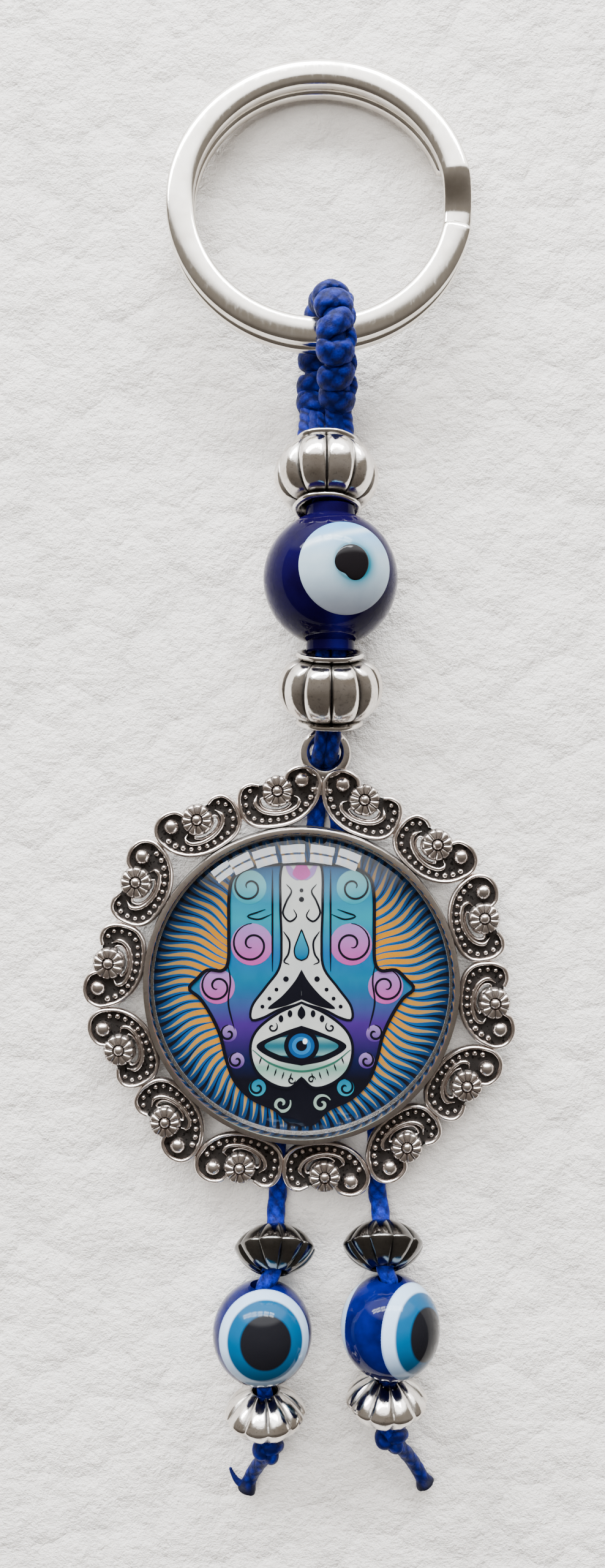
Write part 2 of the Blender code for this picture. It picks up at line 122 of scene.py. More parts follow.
# cords: routes are the CAD model's own
LOOP_ROUTE = [(3.6, 30.3, 4.0), (3.55, 32.9, 4.7), (3.35, 35.0, 6.7), (3.2, 37.4, 8.5),
              (3.15, 39.9, 8.9), (2.95, 42.5, 7.9), (2.6, 43.6, 5.3), (2.05, 42.6, 2.7),
              (1.5, 40.0, 1.68), (1.35, 37.0, 1.72), (1.25, 34.6, 2.1), (1.2, 32.7, 2.85),
              (1.2, 30.3, 3.5)]
LEG_ROUTES = {
    "left": [(1.5, -0.9, 0.86), (1.6, -5.0, 0.86), (0.9, -12.0, 0.86), (-1.2, -19.0, 0.86),
             (-2.5, -26.0, 0.86), (-2.8, -34.0, 0.86), (-2.5, -41.0, 0.86),
             (-2.4, -45.25, 0.86)],
    "right": [(3.3, -0.9, 0.86), (3.5, -5.0, 0.86), (4.4, -12.0, 0.86), (6.0, -19.0, 0.86),
              (7.1, -26.0, 0.86), (7.5, -34.0, 0.86), (7.6, -41.0, 0.86),
              (7.7, -45.25, 0.86)],
}
DROP_ROUTES = {
    "left": [(-2.55, -46.45, 1.15), (-2.6, -48.1, 1.85), (-2.65, -50.15, 3.4),
             (-2.8, -51.8, 4.68), (-3.4, -52.7, 4.95), (-3.8, -53.8, 4.9),
             (-3.84, -57.65, 4.9), (-3.84, -61.6, 4.9), (-3.7, -63.0, 4.5),
             (-3.6, -64.3, 4.18), (-3.6, -65.85, 4.1), (-3.45, -68.25, 4.0),
             (-3.3, -69.85, 3.7)],
    "right": [(7.92, -46.45, 1.25), (8.0, -47.8, 2.05), (8.1, -49.75, 3.45),
              (8.2, -51.4, 4.66), (8.55, -52.3, 4.95), (8.7, -53.4, 4.9),
              (8.7, -57.1, 4.9), (8.7, -61.0, 4.9), (8.6, -61.9, 4.55),
              (8.45, -63.0, 4.2), (8.4, -64.6, 4.1), (8.45, -67.1, 4.0),
              (8.95, -68.8, 3.6)],
}
TAIL_ROUTES = {
    "left": [(-3.75, -71.05, 3.0), (-4.5, -72.7, 1.8), (-5.1, -74.1, 1.0),
             (-5.6, -75.5, 0.85)],
    "right": [(9.75, -69.95, 2.9), (10.8, -71.6, 1.8), (11.75, -73.35, 1.0),
              (12.6, -75.0, 0.85)],
}
FRAY_ROUTE = [(-5.75, -75.2, 0.85), (-6.5, -74.7, 0.9), (-7.0, -73.9, 0.95), (-7.25, -73.3, 0.95)]
EYELET_ROUTE = [(2.25, -1.9, 1.9), (2.25, -1.35, 3.0), (2.4, -0.5, 3.95), (2.6, 0.8, 4.35),
                (2.72, 2.2, 4.5), (2.8, 4.0, 4.7)]
STRAND_ROUTE = [(2.8, 4.0, 4.7), (2.85, 5.5, 5.1), (2.85, 9.3, 6.15), (2.8, 12.5, 6.5),
                (2.8, 19.6, 6.45), (2.6, 22.9, 6.0), (2.4, 26.15, 5.2), (2.4, 28.8, 4.6)]
CORD_APART = 0.62
WRAP_PITCH = 2.3
WRAP_CLEAR = 4.0
WRAP_OFFSET = (1.24, 0.86)
WRAP_HALF = (0.60, 1.10)
HITCH_HALF = 0.42
KNOT_CORD_R = 0.58
KNOTS = {"left": ((-3.3, -69.85, 3.7), (1.55, 1.1, 1.35)),
         "right": ((8.95, -68.8, 3.6), (1.7, 1.15, 1.4))}


# ---------------------------------------------------------------- helpers for materials

def new_material(name, base, roughness, metallic=0.0, **sockets):
    """A Principled material; returns it with its node tree and its shader."""
    material = bpy.data.materials.new(name)
    material.use_nodes = True
    tree = material.node_tree
    shader = tree.nodes["Principled BSDF"]
    shader.inputs["Base Color"].default_value = (*base, 1.0)
    shader.inputs["Roughness"].default_value = roughness
    shader.inputs["Metallic"].default_value = metallic
    for socket, value in sockets.items():
        shader.inputs[socket.replace("_", " ")].default_value = value
    return material, tree, shader


def noise(tree, scale, detail=4.0, roughness=0.55, stretch=None):
    """Noise in the object's own space; scale is in features per metre."""
    coords = tree.nodes.new("ShaderNodeTexCoord")
    node = tree.nodes.new("ShaderNodeTexNoise")
    node.inputs["Scale"].default_value = scale
    node.inputs["Detail"].default_value = detail
    node.inputs["Roughness"].default_value = roughness
    source = coords.outputs["Object"]
    if stretch:
        mapping = tree.nodes.new("ShaderNodeMapping")
        mapping.inputs["Scale"].default_value = stretch
        tree.links.new(source, mapping.inputs["Vector"])
        source = mapping.outputs["Vector"]
    tree.links.new(source, node.inputs["Vector"])
    return node.outputs["Fac"]


def attribute(tree, name, output="Fac"):
    node = tree.nodes.new("ShaderNodeAttribute")
    node.attribute_name = name
    return node.outputs[output]


def remap(tree, source, low, high, to_low, to_high):
    node = tree.nodes.new("ShaderNodeMapRange")
    for socket, value in (("From Min", low), ("From Max", high),
                          ("To Min", to_low), ("To Max", to_high)):
        node.inputs[socket].default_value = value
    tree.links.new(source, node.inputs["Value"])
    return node.outputs["Result"]


def mix_colour(tree, factor, first, second, blend="MIX"):
    """Mix two colours; each is a socket or a plain colour, and so is the factor."""
    node = tree.nodes.new("ShaderNodeMix")
    node.data_type = "RGBA"
    node.blend_type = blend
    for socket, value in ((node.inputs[0], factor), (node.inputs[6], first),
                          (node.inputs[7], second)):
        if isinstance(value, bpy.types.NodeSocket):
            tree.links.new(value, socket)
        elif isinstance(value, tuple):
            socket.default_value = (*value, 1.0)
        else:
            socket.default_value = value
    return node.outputs[2]


def math_node(tree, operation, first, second):
    node = tree.nodes.new("ShaderNodeMath")
    node.operation = operation
    node.use_clamp = True
    for socket, value in ((node.inputs[0], first), (node.inputs[1], second)):
        if isinstance(value, bpy.types.NodeSocket):
            tree.links.new(value, socket)
        else:
            socket.default_value = value
    return node.outputs[0]


def paint(tree, shader, colour, roughness):
    tree.links.new(colour, shader.inputs["Base Color"])
    tree.links.new(roughness, shader.inputs["Roughness"])


def bump(tree, shader, height, strength, distance):
    node = tree.nodes.new("ShaderNodeBump")
    node.inputs["Strength"].default_value = strength
    node.inputs["Distance"].default_value = distance * MM
    tree.links.new(height, node.inputs["Height"])
    tree.links.new(node.outputs["Normal"], shader.inputs["Normal"])


# ---------------------------------------------------------------- materials

def nickel_material():
    """Bright plate with fine scratches and a few dull patches."""
    material, tree, shader = new_material("nickel_plate", (0.78, 0.75, 0.70), 0.12, 1.0)
    patches = noise(tree, 500.0, 3.0)
    scratches = noise(tree, 3000.0, 6.0, 0.7, (1.0, 0.25, 1.0))
    colour = mix_colour(tree, remap(tree, patches, 0.35, 0.7, 0.0, 1.0),
                        (0.80, 0.77, 0.72), (0.66, 0.62, 0.56))
    rough = math_node(tree, "ADD", remap(tree, patches, 0.3, 0.75, 0.07, 0.16),
                      remap(tree, scratches, 0.5, 0.8, 0.0, 0.16))
    paint(tree, shader, colour, rough)
    bump(tree, shader, scratches, 0.25, 0.02)
    return material


def cast_silver_material(name, bright, warm, dark, roughness, grime, grain):
    """Cast plated metal darkened by the mesh's shade: blackened patina in its cast hollows, and
    painted shade in bores and on the cup's inner wall and foot.
    """
    material, tree, shader = new_material(name, bright, roughness, 1.0)
    patina = noise(tree, 420.0, 4.0)
    fine = noise(tree, 2600.0, 5.0, 0.65)
    body = mix_colour(tree, remap(tree, patina, 0.35, 0.68, 0.0, 1.0), bright, warm)
    # the mesh's shade: patina in cast hollows, painted shade in bores and on the cup
    hollow = attribute(tree, "shade")
    patina_and_shade = math_node(tree, "ADD", hollow, remap(tree, fine, 0.55, 0.8, 0.0, grime))
    rough = math_node(tree, "ADD", remap(tree, fine, 0.3, 0.8, roughness * 0.6, roughness * 1.5),
                      math_node(tree, "MULTIPLY", hollow, 0.4))
    paint(tree, shader, mix_colour(tree, patina_and_shade, body, dark), rough)
    bump(tree, shader, fine, grain, 0.03)
    return material


def cord_material():
    """Braided synthetic cord: royal blue fibres, with navy painted shade between the strands and on
    the parts set darker.
    """
    material, tree, shader = new_material(
        "blue_cord", (0.006, 0.02, 0.30), 0.42, 0.0,
        Sheen_Weight=0.06, Sheen_Roughness=0.4, Specular_IOR_Level=0.12)
    shader.inputs["Sheen Tint"].default_value = (0.2, 0.4, 1.0, 1.0)
    fibres = noise(tree, 2600.0, 5.0, 0.7)
    patches = noise(tree, 300.0, 2.0)
    light = mix_colour(tree, remap(tree, fibres, 0.42, 0.72, 0.0, 1.0),
                       (0.003, 0.009, 0.22), (0.010, 0.042, 0.62))
    tinted = mix_colour(tree, remap(tree, patches, 0.3, 0.7, 0.0, 0.4), light,
                        (0.002, 0.005, 0.12))
    # painted shade: the mesh's shade turns the blue to navy in the braid's creases and on shaded
    # parts of the cord
    colour = mix_colour(tree, attribute(tree, "shade"), tinted, (0.001, 0.003, 0.045))
    colour = mix_colour(tree, attribute(tree, "char"), colour, (0.006, 0.006, 0.012))
    paint(tree, shader, colour, remap(tree, fibres, 0.3, 0.8, 0.55, 0.3))
    bump(tree, shader, fibres, 0.8, 0.10)
    return material


def violet_glass_material():
    """Deep violet glass with faint swirls; the mesh's tint is a painted glow: a brighter blue band
    low on the bead and lighter edges.
    """
    material, tree, shader = new_material(
        "violet_glass", (0.006, 0.003, 0.07), 0.03, 0.0, Transmission_Weight=0.1, IOR=1.3,
        Specular_IOR_Level=0.1)
    swirls = noise(tree, 260.0, 3.0)
    # The tint is painted light, brighter where the glass would let light through.
    colour = mix_colour(tree, remap(tree, swirls, 0.35, 0.7, 0.0, 0.6),
                        attribute(tree, "tint", "Color"), (0.005, 0.0015, 0.05))
    paint(tree, shader, colour, remap(tree, noise(tree, 900.0, 3.0), 0.4, 0.8, 0.015, 0.06))
    return material


def cobalt_material():
    """Cobalt resin, clear enough to glow a little at its edges."""
    material, tree, shader = new_material(
        "cobalt_resin", (0.002, 0.006, 0.10), 0.06, 0.0, Transmission_Weight=0.15, IOR=1.3,
        Specular_IOR_Level=0.3)
    swirls = noise(tree, 380.0, 3.0)
    colour = mix_colour(tree, remap(tree, swirls, 0.35, 0.7, 0.0, 1.0),
                        (0.001, 0.002, 0.045), (0.002, 0.006, 0.12))
    paint(tree, shader, colour, remap(tree, noise(tree, 1100.0, 3.0), 0.4, 0.8, 0.03, 0.10))
    return material


def enamel_material():
    """Coloured layers of an eye bead, painted by the mesh's tint, under a glossy skin; the tint
    also holds painted shade and a painted reflection.
    """
    material, tree, shader = new_material(
        "eye_enamel", (0.8, 0.85, 0.9), 0.10, 0.0, Specular_IOR_Level=0.17)
    cloud = noise(tree, 600.0, 4.0)
    colour = mix_colour(tree, remap(tree, cloud, 0.35, 0.7, 0.0, 0.16),
                        attribute(tree, "tint", "Color"), (0.30, 0.42, 0.52), "MULTIPLY")
    paint(tree, shader, colour, remap(tree, cloud, 0.3, 0.8, 0.06, 0.16))
    bump(tree, shader, noise(tree, 450.0, 2.0), 0.12, 0.05)
    return material


def print_material():
    """Ink on satin paper, painted by the mesh's tint, with the ink's grain."""
    material, tree, shader = new_material("printed_paper", (0.2, 0.4, 0.7), 0.4, 0.0,
                                          Specular_IOR_Level=0.12)
    grain = noise(tree, 4200.0, 3.0)
    wash = noise(tree, 520.0, 4.0)
    inked = mix_colour(tree, remap(tree, wash, 0.35, 0.7, 0.0, 0.30),
                       attribute(tree, "tint", "Color"), (0.55, 0.60, 0.70), "MULTIPLY")
    inked = mix_colour(tree, remap(tree, grain, 0.45, 0.75, 0.0, 0.18), inked,
                       (0.80, 0.80, 0.78), "MULTIPLY")
    paint(tree, shader, inked, remap(tree, grain, 0.3, 0.8, 0.34, 0.48))
    return material


def clear_glass_material():
    """Clear dome: it lets the picture through and reflects by Fresnel."""
    material = bpy.data.materials.new("clear_dome")
    material.use_nodes = True
    tree = material.node_tree
    tree.nodes.clear()
    output = tree.nodes.new("ShaderNodeOutputMaterial")
    through = tree.nodes.new("ShaderNodeBsdfTransparent")
    through.inputs["Color"].default_value = (0.95, 0.97, 0.98, 1.0)
    gloss = tree.nodes.new("ShaderNodeBsdfGlossy")
    tree.links.new(remap(tree, noise(tree, 500.0, 3.0), 0.4, 0.8, 0.0, 0.03),
                   gloss.inputs["Roughness"])
    fresnel = tree.nodes.new("ShaderNodeFresnel")
    fresnel.inputs["IOR"].default_value = 1.36
    both = tree.nodes.new("ShaderNodeMixShader")
    surface = tree.nodes.new("ShaderNodeNewGeometry")
    outer = math_node(tree, "SUBTRACT", 1.0, surface.outputs["Backfacing"])
    tree.links.new(math_node(tree, "MULTIPLY", fresnel.outputs[0], outer), both.inputs[0])
    tree.links.new(through.outputs[0], both.inputs[1])
    tree.links.new(gloss.outputs[0], both.inputs[2])
    tree.links.new(both.outputs[0], output.inputs["Surface"])
    return material


def foam_material():
    """Pale foam board: swollen cells a few millimetres wide, pits and soft clouds, with painted
    shade in the creases between cells.
    """
    material, tree, shader = new_material("foam_board", (0.92, 0.90, 0.87), 0.5)
    coords = tree.nodes.new("ShaderNodeTexCoord")
    cells = tree.nodes.new("ShaderNodeTexVoronoi")
    cells.feature = "F1"
    cells.inputs["Scale"].default_value = 230.0
    drift = tree.nodes.new("ShaderNodeVectorMath")
    drift.operation = "MULTIPLY_ADD"
    drift.inputs[1].default_value = (0.0022, 0.0022, 0.0022)
    wander = tree.nodes.new("ShaderNodeTexNoise")
    wander.inputs["Scale"].default_value = 260.0
    tree.links.new(wander.outputs["Color"], drift.inputs[0])
    tree.links.new(coords.outputs["Object"], drift.inputs[2])
    tree.links.new(drift.outputs[0], cells.inputs["Vector"])
    fine = noise(tree, 700.0, 5.0, 0.7)
    clouds = noise(tree, 30.0, 3.0)
    sunk = remap(tree, cells.outputs["Distance"], 0.45, 0.85, 0.0, 1.0)
    patchy = remap(tree, noise(tree, 60.0, 2.0), 0.40, 0.62, 0.15, 1.0)
    # Painted shade: colour darkened along the creases between cells.
    crease_shade = math_node(tree, "MULTIPLY", sunk, patchy)
    colour = mix_colour(tree, remap(tree, clouds, 0.3, 0.7, 0.0, 1.0),
                        (0.96, 0.92, 0.88), (0.90, 0.865, 0.825))
    colour = mix_colour(tree, math_node(tree, "MULTIPLY", crease_shade, 0.28), colour,
                        (0.42, 0.40, 0.38))
    colour = mix_colour(tree, remap(tree, fine, 0.56, 0.72, 0.0, 0.14), colour,
                        (0.60, 0.59, 0.58))
    tree.links.new(colour, shader.inputs["Base Color"])
    swell = remap(tree, math_node(tree, "MULTIPLY", cells.outputs["Distance"],
                                  cells.outputs["Distance"]), 0.0, 0.6, 0.6, 0.0)
    bump(tree, shader, math_node(tree, "ADD", swell, remap(tree, fine, 0.3, 0.7, 0.0, 0.4)),
         0.65, 1.0)
    return material


# ---------------------------------------------------------------- helpers for meshes

class Shape:
    """Vertices and faces gathered from several parts, with a shade and a tint for each."""

    def __init__(self):
        self.points, self.faces, self.shade, self.tint, self.char = [], [], [], [], []
        self.count = 0

    def add(self, points, faces, shade=0.0, tint=(1.0, 1.0, 1.0), char=0.0):
        points = np.asarray(points, float).reshape(-1, 3)
        n = len(points)
        self.faces += [tuple(int(k) + self.count for k in face) for face in faces]
        self.points.append(points)
        self.shade.append(np.broadcast_to(np.asarray(shade, float).reshape(-1), (n,)))
        self.tint.append(np.broadcast_to(np.asarray(tint, float).reshape(-1, 3), (n, 3)))
        self.char.append(np.broadcast_to(np.asarray(char, float).reshape(-1), (n,)))
        self.count += n

    def piece(self, name, body, slot, material, replaces=(), angle=40.0):
        """Make the object, let it ride on its body, give it its slot and hide the CAD nodes it
        stands for.
        """
        mesh = bpy.data.meshes.new(name)
        points = np.concatenate(self.points) * MM
        mesh.from_pydata(points.tolist(), [], self.faces)
        mesh.validate()
        shade = mesh.attributes.new("shade", "FLOAT", "POINT")
        shade.data.foreach_set("value", np.concatenate(self.shade).astype(np.float32))
        char = mesh.attributes.new("char", "FLOAT", "POINT")
        char.data.foreach_set("value", np.concatenate(self.char).astype(np.float32))
        tint = mesh.attributes.new("tint", "FLOAT_COLOR", "POINT")
        rgba = np.ones((self.count, 4), np.float32)
        rgba[:, :3] = np.concatenate(self.tint)
        tint.data.foreach_set("color", rgba.ravel())
        mesh.materials.append(material)
        mesh.shade_smooth()
        mesh.set_sharp_from_angle(angle=math.radians(angle))
        obj = bpy.data.objects.new(name, mesh)
        bpy.context.scene.collection.objects.link(obj)
        if body:
            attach(obj, body)
        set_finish(obj, slot)
        if replaces:
            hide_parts(*replaces)
        return obj


def grid_faces(rows, columns, wrap_rows=False, wrap_columns=True, flip=False):
    """Quads of a grid of points, numbered row by row."""
    faces = []
    for i in range(rows if wrap_rows else rows - 1):
        n = (i + 1) % rows
        for j in range(columns if wrap_columns else columns - 1):
            m = (j + 1) % columns
            face = (i * columns + j, i * columns + m, n * columns + m, n * columns + j)
            faces.append(face[::-1] if flip else face)
    return faces


def unit(values):
    """Values held between 0 and 1."""
    return np.clip(values, 0.0, 1.0)


def travel(path):
    """Distance along a path to each of its points."""
    return np.concatenate([[0.0], np.cumsum(np.linalg.norm(np.diff(path, axis=0), axis=1))])


def turns_of(count):
    """Evenly spaced angles round a circle."""
    return 2 * np.pi * np.arange(count) / count


def upward_triangles(flat, loops):
    """Triangles that fill some loops of a flat outline, all facing up."""
    faces = []
    for a, b, c in geometry.tessellate_polygon([[(x, y, 0.0) for x, y in loop] for loop in loops]):
        p, q, r = flat[a], flat[b], flat[c]
        turn = (q[0] - p[0]) * (r[1] - p[1]) - (q[1] - p[1]) * (r[0] - p[0])
        faces.append((a, b, c) if turn > 0 else (c, b, a))
    return faces


def smooth_path(points, spacing, closed=False):
    """Evenly spaced points on a Catmull-Rom curve through some points."""
    pts = np.asarray(points, float)
    if closed:
        pts = np.vstack([pts[-1], pts, pts[0], pts[1]])
    else:
        pts = np.vstack([2 * pts[0] - pts[1], pts, 2 * pts[-1] - pts[-2]])
    t = np.linspace(0.0, 1.0, 16, endpoint=False)[:, None]
    fine = []
    for a, b, c, d in zip(pts, pts[1:], pts[2:], pts[3:]):
        fine.append(0.5 * (2 * b + (c - a) * t + (2 * a - 5 * b + 4 * c - d) * t ** 2
                           + (3 * b - a - 3 * c + d) * t ** 3))
    fine.append(pts[-2][None])
    fine = np.concatenate(fine)
    lengths = travel(fine)
    count = max(3, round(lengths[-1] / spacing))
    at = np.linspace(0.0, lengths[-1], count + 1)
    path = np.stack([np.interp(at, lengths, fine[:, k]) for k in range(fine.shape[1])], axis=1)
    return path[:-1] if closed else path


def frames(path, side, closed=False):
    """Unit tangent, side and up vectors along a path; side is a first guess for each."""
    if closed:
        tangent = np.roll(path, -1, axis=0) - np.roll(path, 1, axis=0)
    else:
        tangent = np.gradient(path, axis=0)
    tangent /= np.linalg.norm(tangent, axis=1, keepdims=True)
    side = np.broadcast_to(np.asarray(side, float), path.shape)
    side = side - tangent * np.sum(side * tangent, axis=1, keepdims=True)
    side = side / np.linalg.norm(side, axis=1, keepdims=True)
    return tangent, side, np.cross(tangent, side)


def sweep(shape, path, width, height=None, sides=12, side=(1.0, 0.0, 0.0), closed=False,
          relief=None, shade=0.0, char=0.0, caps=True):
    """A tube along a path. relief(around, along) returns a height in mm and a shade."""
    height = width if height is None else height
    n = len(path)
    across, up = frames(path, side, closed)[1:]
    along = travel(path)
    angle = turns_of(sides)
    w = np.broadcast_to(np.asarray(width, float).reshape(-1), (n,))[:, None]
    h = np.broadcast_to(np.asarray(height, float).reshape(-1), (n,))[:, None]
    dark = np.broadcast_to(np.asarray(shade, float).reshape(-1, 1), (n, sides))
    burnt = np.broadcast_to(np.asarray(char, float).reshape(-1, 1), (n, sides))
    if relief:
        # The relief's second value is painted shade in its creases, added to the given shade.
        bulge, crease_shade = relief(angle[None, :], along[:, None])
        w, h = w + bulge, h + bulge
        dark = unit(dark + crease_shade)
    points = (path[:, None, :] + across[:, None, :] * (np.cos(angle) * w)[..., None]
              + up[:, None, :] * (np.sin(angle) * h)[..., None])
    faces = grid_faces(n, sides, closed, True, True)
    points, dark, burnt = points.reshape(-1, 3), dark.ravel(), burnt.ravel()
    if caps and not closed:
        faces.append(tuple(range(sides)))
        faces.append(tuple(reversed(range((n - 1) * sides, n * sides))))
    shape.add(points, faces, dark, char=burnt)


def turned(shape, profile, segments, matrix, radius=None, shade=None, tint=(1.0, 1.0, 1.0)):
    """A closed profile of (radius, height) turned about local Z and put in place.

    radius(angle, r, z) and shade(angle, r, z) take and return whole arrays.
    """
    profile = np.asarray(profile, float)
    angle = turns_of(segments)[:, None]
    r = np.broadcast_to(profile[:, 0][None], (segments, len(profile)))
    z = np.broadcast_to(profile[:, 1][None], (segments, len(profile)))
    wide = radius(angle, r, z) if radius else r
    dark = shade(angle, r, z) if shade else np.zeros_like(r)
    points = np.stack([wide * np.cos(angle), wide * np.sin(angle), z], axis=-1).reshape(-1, 3)
    rotation = np.array(matrix.to_3x3())
    points = points @ rotation.T + np.array(matrix.translation)
    shape.add(points, grid_faces(segments, len(profile), True, True), unit(dark).ravel(), tint)


def place(centre, axis=(0.0, 0.0, 1.0)):
    """Matrix with local Z along an axis, in millimetres."""
    turn = Vector((0, 0, 1)).rotation_difference(Vector(axis).normalized())
    return Matrix.Translation(Vector(centre)) @ turn.to_matrix().to_4x4()


def joint_place(name):
    joint = JOINTS[name]
    return place(Vector(joint["pos_m"]) / MM, joint["axis"])


def cap_point(centre, frame3, radius, away, round_):
    """Points on a sphere at an angle from a frame's Z and another angle round it."""
    local = np.stack([np.sin(away) * np.cos(round_), np.sin(away) * np.sin(round_),
                      np.cos(away) * np.ones_like(round_)], axis=-1)
    return local.reshape(-1, 3) @ np.array(frame3).T * radius + np.array(centre)


def eye_frame(axis):
    """Rotation with local Z on an eye's axis and local Y towards the key ring."""
    z = Vector(axis).normalized()
    y = (Vector((0, 1, 0)) - z * z.y).normalized()
    return Matrix((y.cross(z), y, z)).transposed()


# ---------------------------------------------------------------- camera, light and floor

def make_camera():
    data = bpy.data.cameras.new("camera")
    data.sensor_width = 36.0
    data.lens = 26.0
    data.clip_start = 0.01
    camera = bpy.data.objects.new("camera", data)
    camera.location = (0.0001, -0.00385, 0.116)
    bpy.context.scene.collection.objects.link(camera)
    bpy.context.scene.camera = camera


def area_light(name, place_at, target, width, height, power, colour=(1.0, 1.0, 1.0)):
    data = bpy.data.lights.new(name, "AREA")
    data.shape = "RECTANGLE"
    data.size = width
    data.size_y = height
    data.energy = power
    data.color = colour
    light = bpy.data.objects.new(name, data)
    light.location = place_at
    light.rotation_euler = (Vector(target) - Vector(place_at)).to_track_quat("-Z", "Y").to_euler()
    bpy.context.scene.collection.objects.link(light)
    return light


def make_light():
    """A window of panes beyond the key ring, a soft fill, and a room bright near the window."""
    columns, rows = 6, 2
    left, right, low, high, away = -0.86, 0.50, 0.325, 0.55, 0.85
    width = (right - left) / columns
    height = (high - low) / rows
    for column in range(columns):
        for row in range(rows):
            x = left + width * (column + 0.5)
            z = low + height * (row + 0.5)
            area_light("pane", (x, away, z), (x * 0.3, 0.0, z * 0.2), width * 0.81,
                       height * 0.72, 2.3, (0.93, 0.97, 1.0))
    fill = area_light("fill", (-0.2, 0.30, 0.9), (0.0, -0.01, 0.0), 0.9, 0.7, 13.0,
                      (1.0, 0.98, 0.955))
    fill.visible_glossy = False
    world = bpy.data.worlds.new("room")
    bpy.context.scene.world = world
    world.use_nodes = True
    tree = world.node_tree
    background = tree.nodes["Background"]
    coords = tree.nodes.new("ShaderNodeTexCoord")
    split = tree.nodes.new("ShaderNodeSeparateXYZ")
    tree.links.new(coords.outputs["Generated"], split.inputs[0])
    ramp = tree.nodes.new("ShaderNodeValToRGB")
    stops = ramp.color_ramp.elements
    stops[0].position = 0.0
    stops[0].color = (0.12, 0.105, 0.095, 1.0)
    stops[1].position = 1.0
    stops[1].color = (5.6, 5.7, 5.8, 1.0)
    for position, colour in ((0.35, (0.16, 0.14, 0.12)), (0.60, (0.30, 0.27, 0.24)),
                             (0.785, (0.34, 0.30, 0.25)), (0.84, (5.2, 5.2, 5.2))):
        stops.new(position).color = (*colour, 1.0)
    tree.links.new(remap(tree, split.outputs["Y"], -1.0, 1.0, 0.0, 1.0), ramp.inputs[0])
    tree.links.new(ramp.outputs[0], background.inputs["Color"])
    background.inputs["Strength"].default_value = 1.0


def make_floor():
    size, cells = 900.0, 2
    shape = Shape()
    line = np.linspace(-size, size, cells + 1)
    xs, ys = np.meshgrid(line, line, indexing="ij")
    shape.add(np.stack([xs, ys, np.full_like(xs, -0.02)], axis=-1),
              grid_faces(cells + 1, cells + 1, False, False, True))
    floor = shape.piece("floor", None, "cord", foam_material())
    del floor["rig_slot"]


# ---------------------------------------------------------------- cords

def braid(width, pitch):
    """Relief of a round diamond braid: strands cross over and under one another."""
    def relief(around, along):
        p = 4 * around / (2 * np.pi) + along / pitch
        q = 4 * around / (2 * np.pi) - along / pitch
        over = (np.floor(p) + np.floor(q)) % 2 > 0.5
        share = np.where(over, p - np.floor(p), q - np.floor(q))
        other = np.where(over, q - np.floor(q), p - np.floor(p))
        crown = np.sqrt(unit(1.0 - (2 * share - 1) ** 2))
        crown = crown * (0.72 + 0.28 * np.sin(np.pi * other))
        # The second value is painted shade, darkest in the creases between strands.
        return width * (crown - 0.6), unit(1.25 * (1.0 - crown) ** 0.8)
    return relief


def twist(plies, pitch, depth):
    """Relief of a laid cord: plies wound round one another."""
    def relief(around, along):
        wave = np.abs(np.cos(plies * (around + 2 * np.pi * along / pitch) / 2))
        # The second value is painted shade in the grooves between plies.
        return depth * (wave - 0.6), 0.95 * (1.0 - wave) ** 1.2
    return relief


def make_side_cords(side):
    """Leg, drop and tail: one core cord from the eyelet to its melted end."""
    route = LEG_ROUTES[side] + DROP_ROUTES[side] + TAIL_ROUTES[side]
    path = smooth_path(route, 0.13)
    along = travel(path)
    to_end = along[-1] - along
    wide = np.interp(to_end, [0.0, 6.0, 8.0, 22.0, 30.0], [0.68, 0.68, 0.74, 0.76, 0.90])
    tall = np.interp(to_end, [0.0, 6.0, 8.0], [0.66, 0.66, 0.72])
    flare = 0.28 * np.exp(-(to_end / 0.5) ** 2)
    char = np.exp(-(to_end / 0.9) ** 2)
    shade = np.interp(to_end, [0.0, 7.0, 9.0], [0.5, 0.5, 0.0])
    shape = Shape()
    sweep(shape, path, wide + flare, tall + flare, sides=28, side=(1.0, 0.0, 0.0), char=char,
          shade=shade, relief=braid(0.10, 1.7))
    cord = shape.piece("core_cord_" + side, None, "cord", CORD, (
        "leg_cord_" + side, "drop_cord_" + side, "tail_" + side))
    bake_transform(cord)
    knot = make_knot(side)


def make_knot(side):
    """Overhand knot pulled tight."""
    centre, radii = KNOTS[side]
    t = turns_of(160)
    curl = np.stack([(np.sin(t) + 2 * np.sin(2 * t)) / 3, (np.cos(t) - 2 * np.cos(2 * t)) / 3,
                     -np.sin(3 * t)], axis=-1)
    reach = (np.array(radii) - KNOT_CORD_R + 0.12) * np.array((1.0, 1.0, 0.75))
    shape = Shape()
    sweep(shape, np.array(centre) + curl * reach, KNOT_CORD_R, sides=20, side=(0.2, 0.3, 1.0),
          closed=True, relief=braid(0.07, 1.5), shade=0.45)
    if side == "left":
        fray = smooth_path(FRAY_ROUTE, 0.1)
        sweep(shape, fray, np.linspace(0.42, 0.14, len(fray)), sides=14, shade=0.5, char=0.6)
    return shape.piece("end_knot_" + side, "drop_" + side, "cord", CORD, ("knot_" + side,))


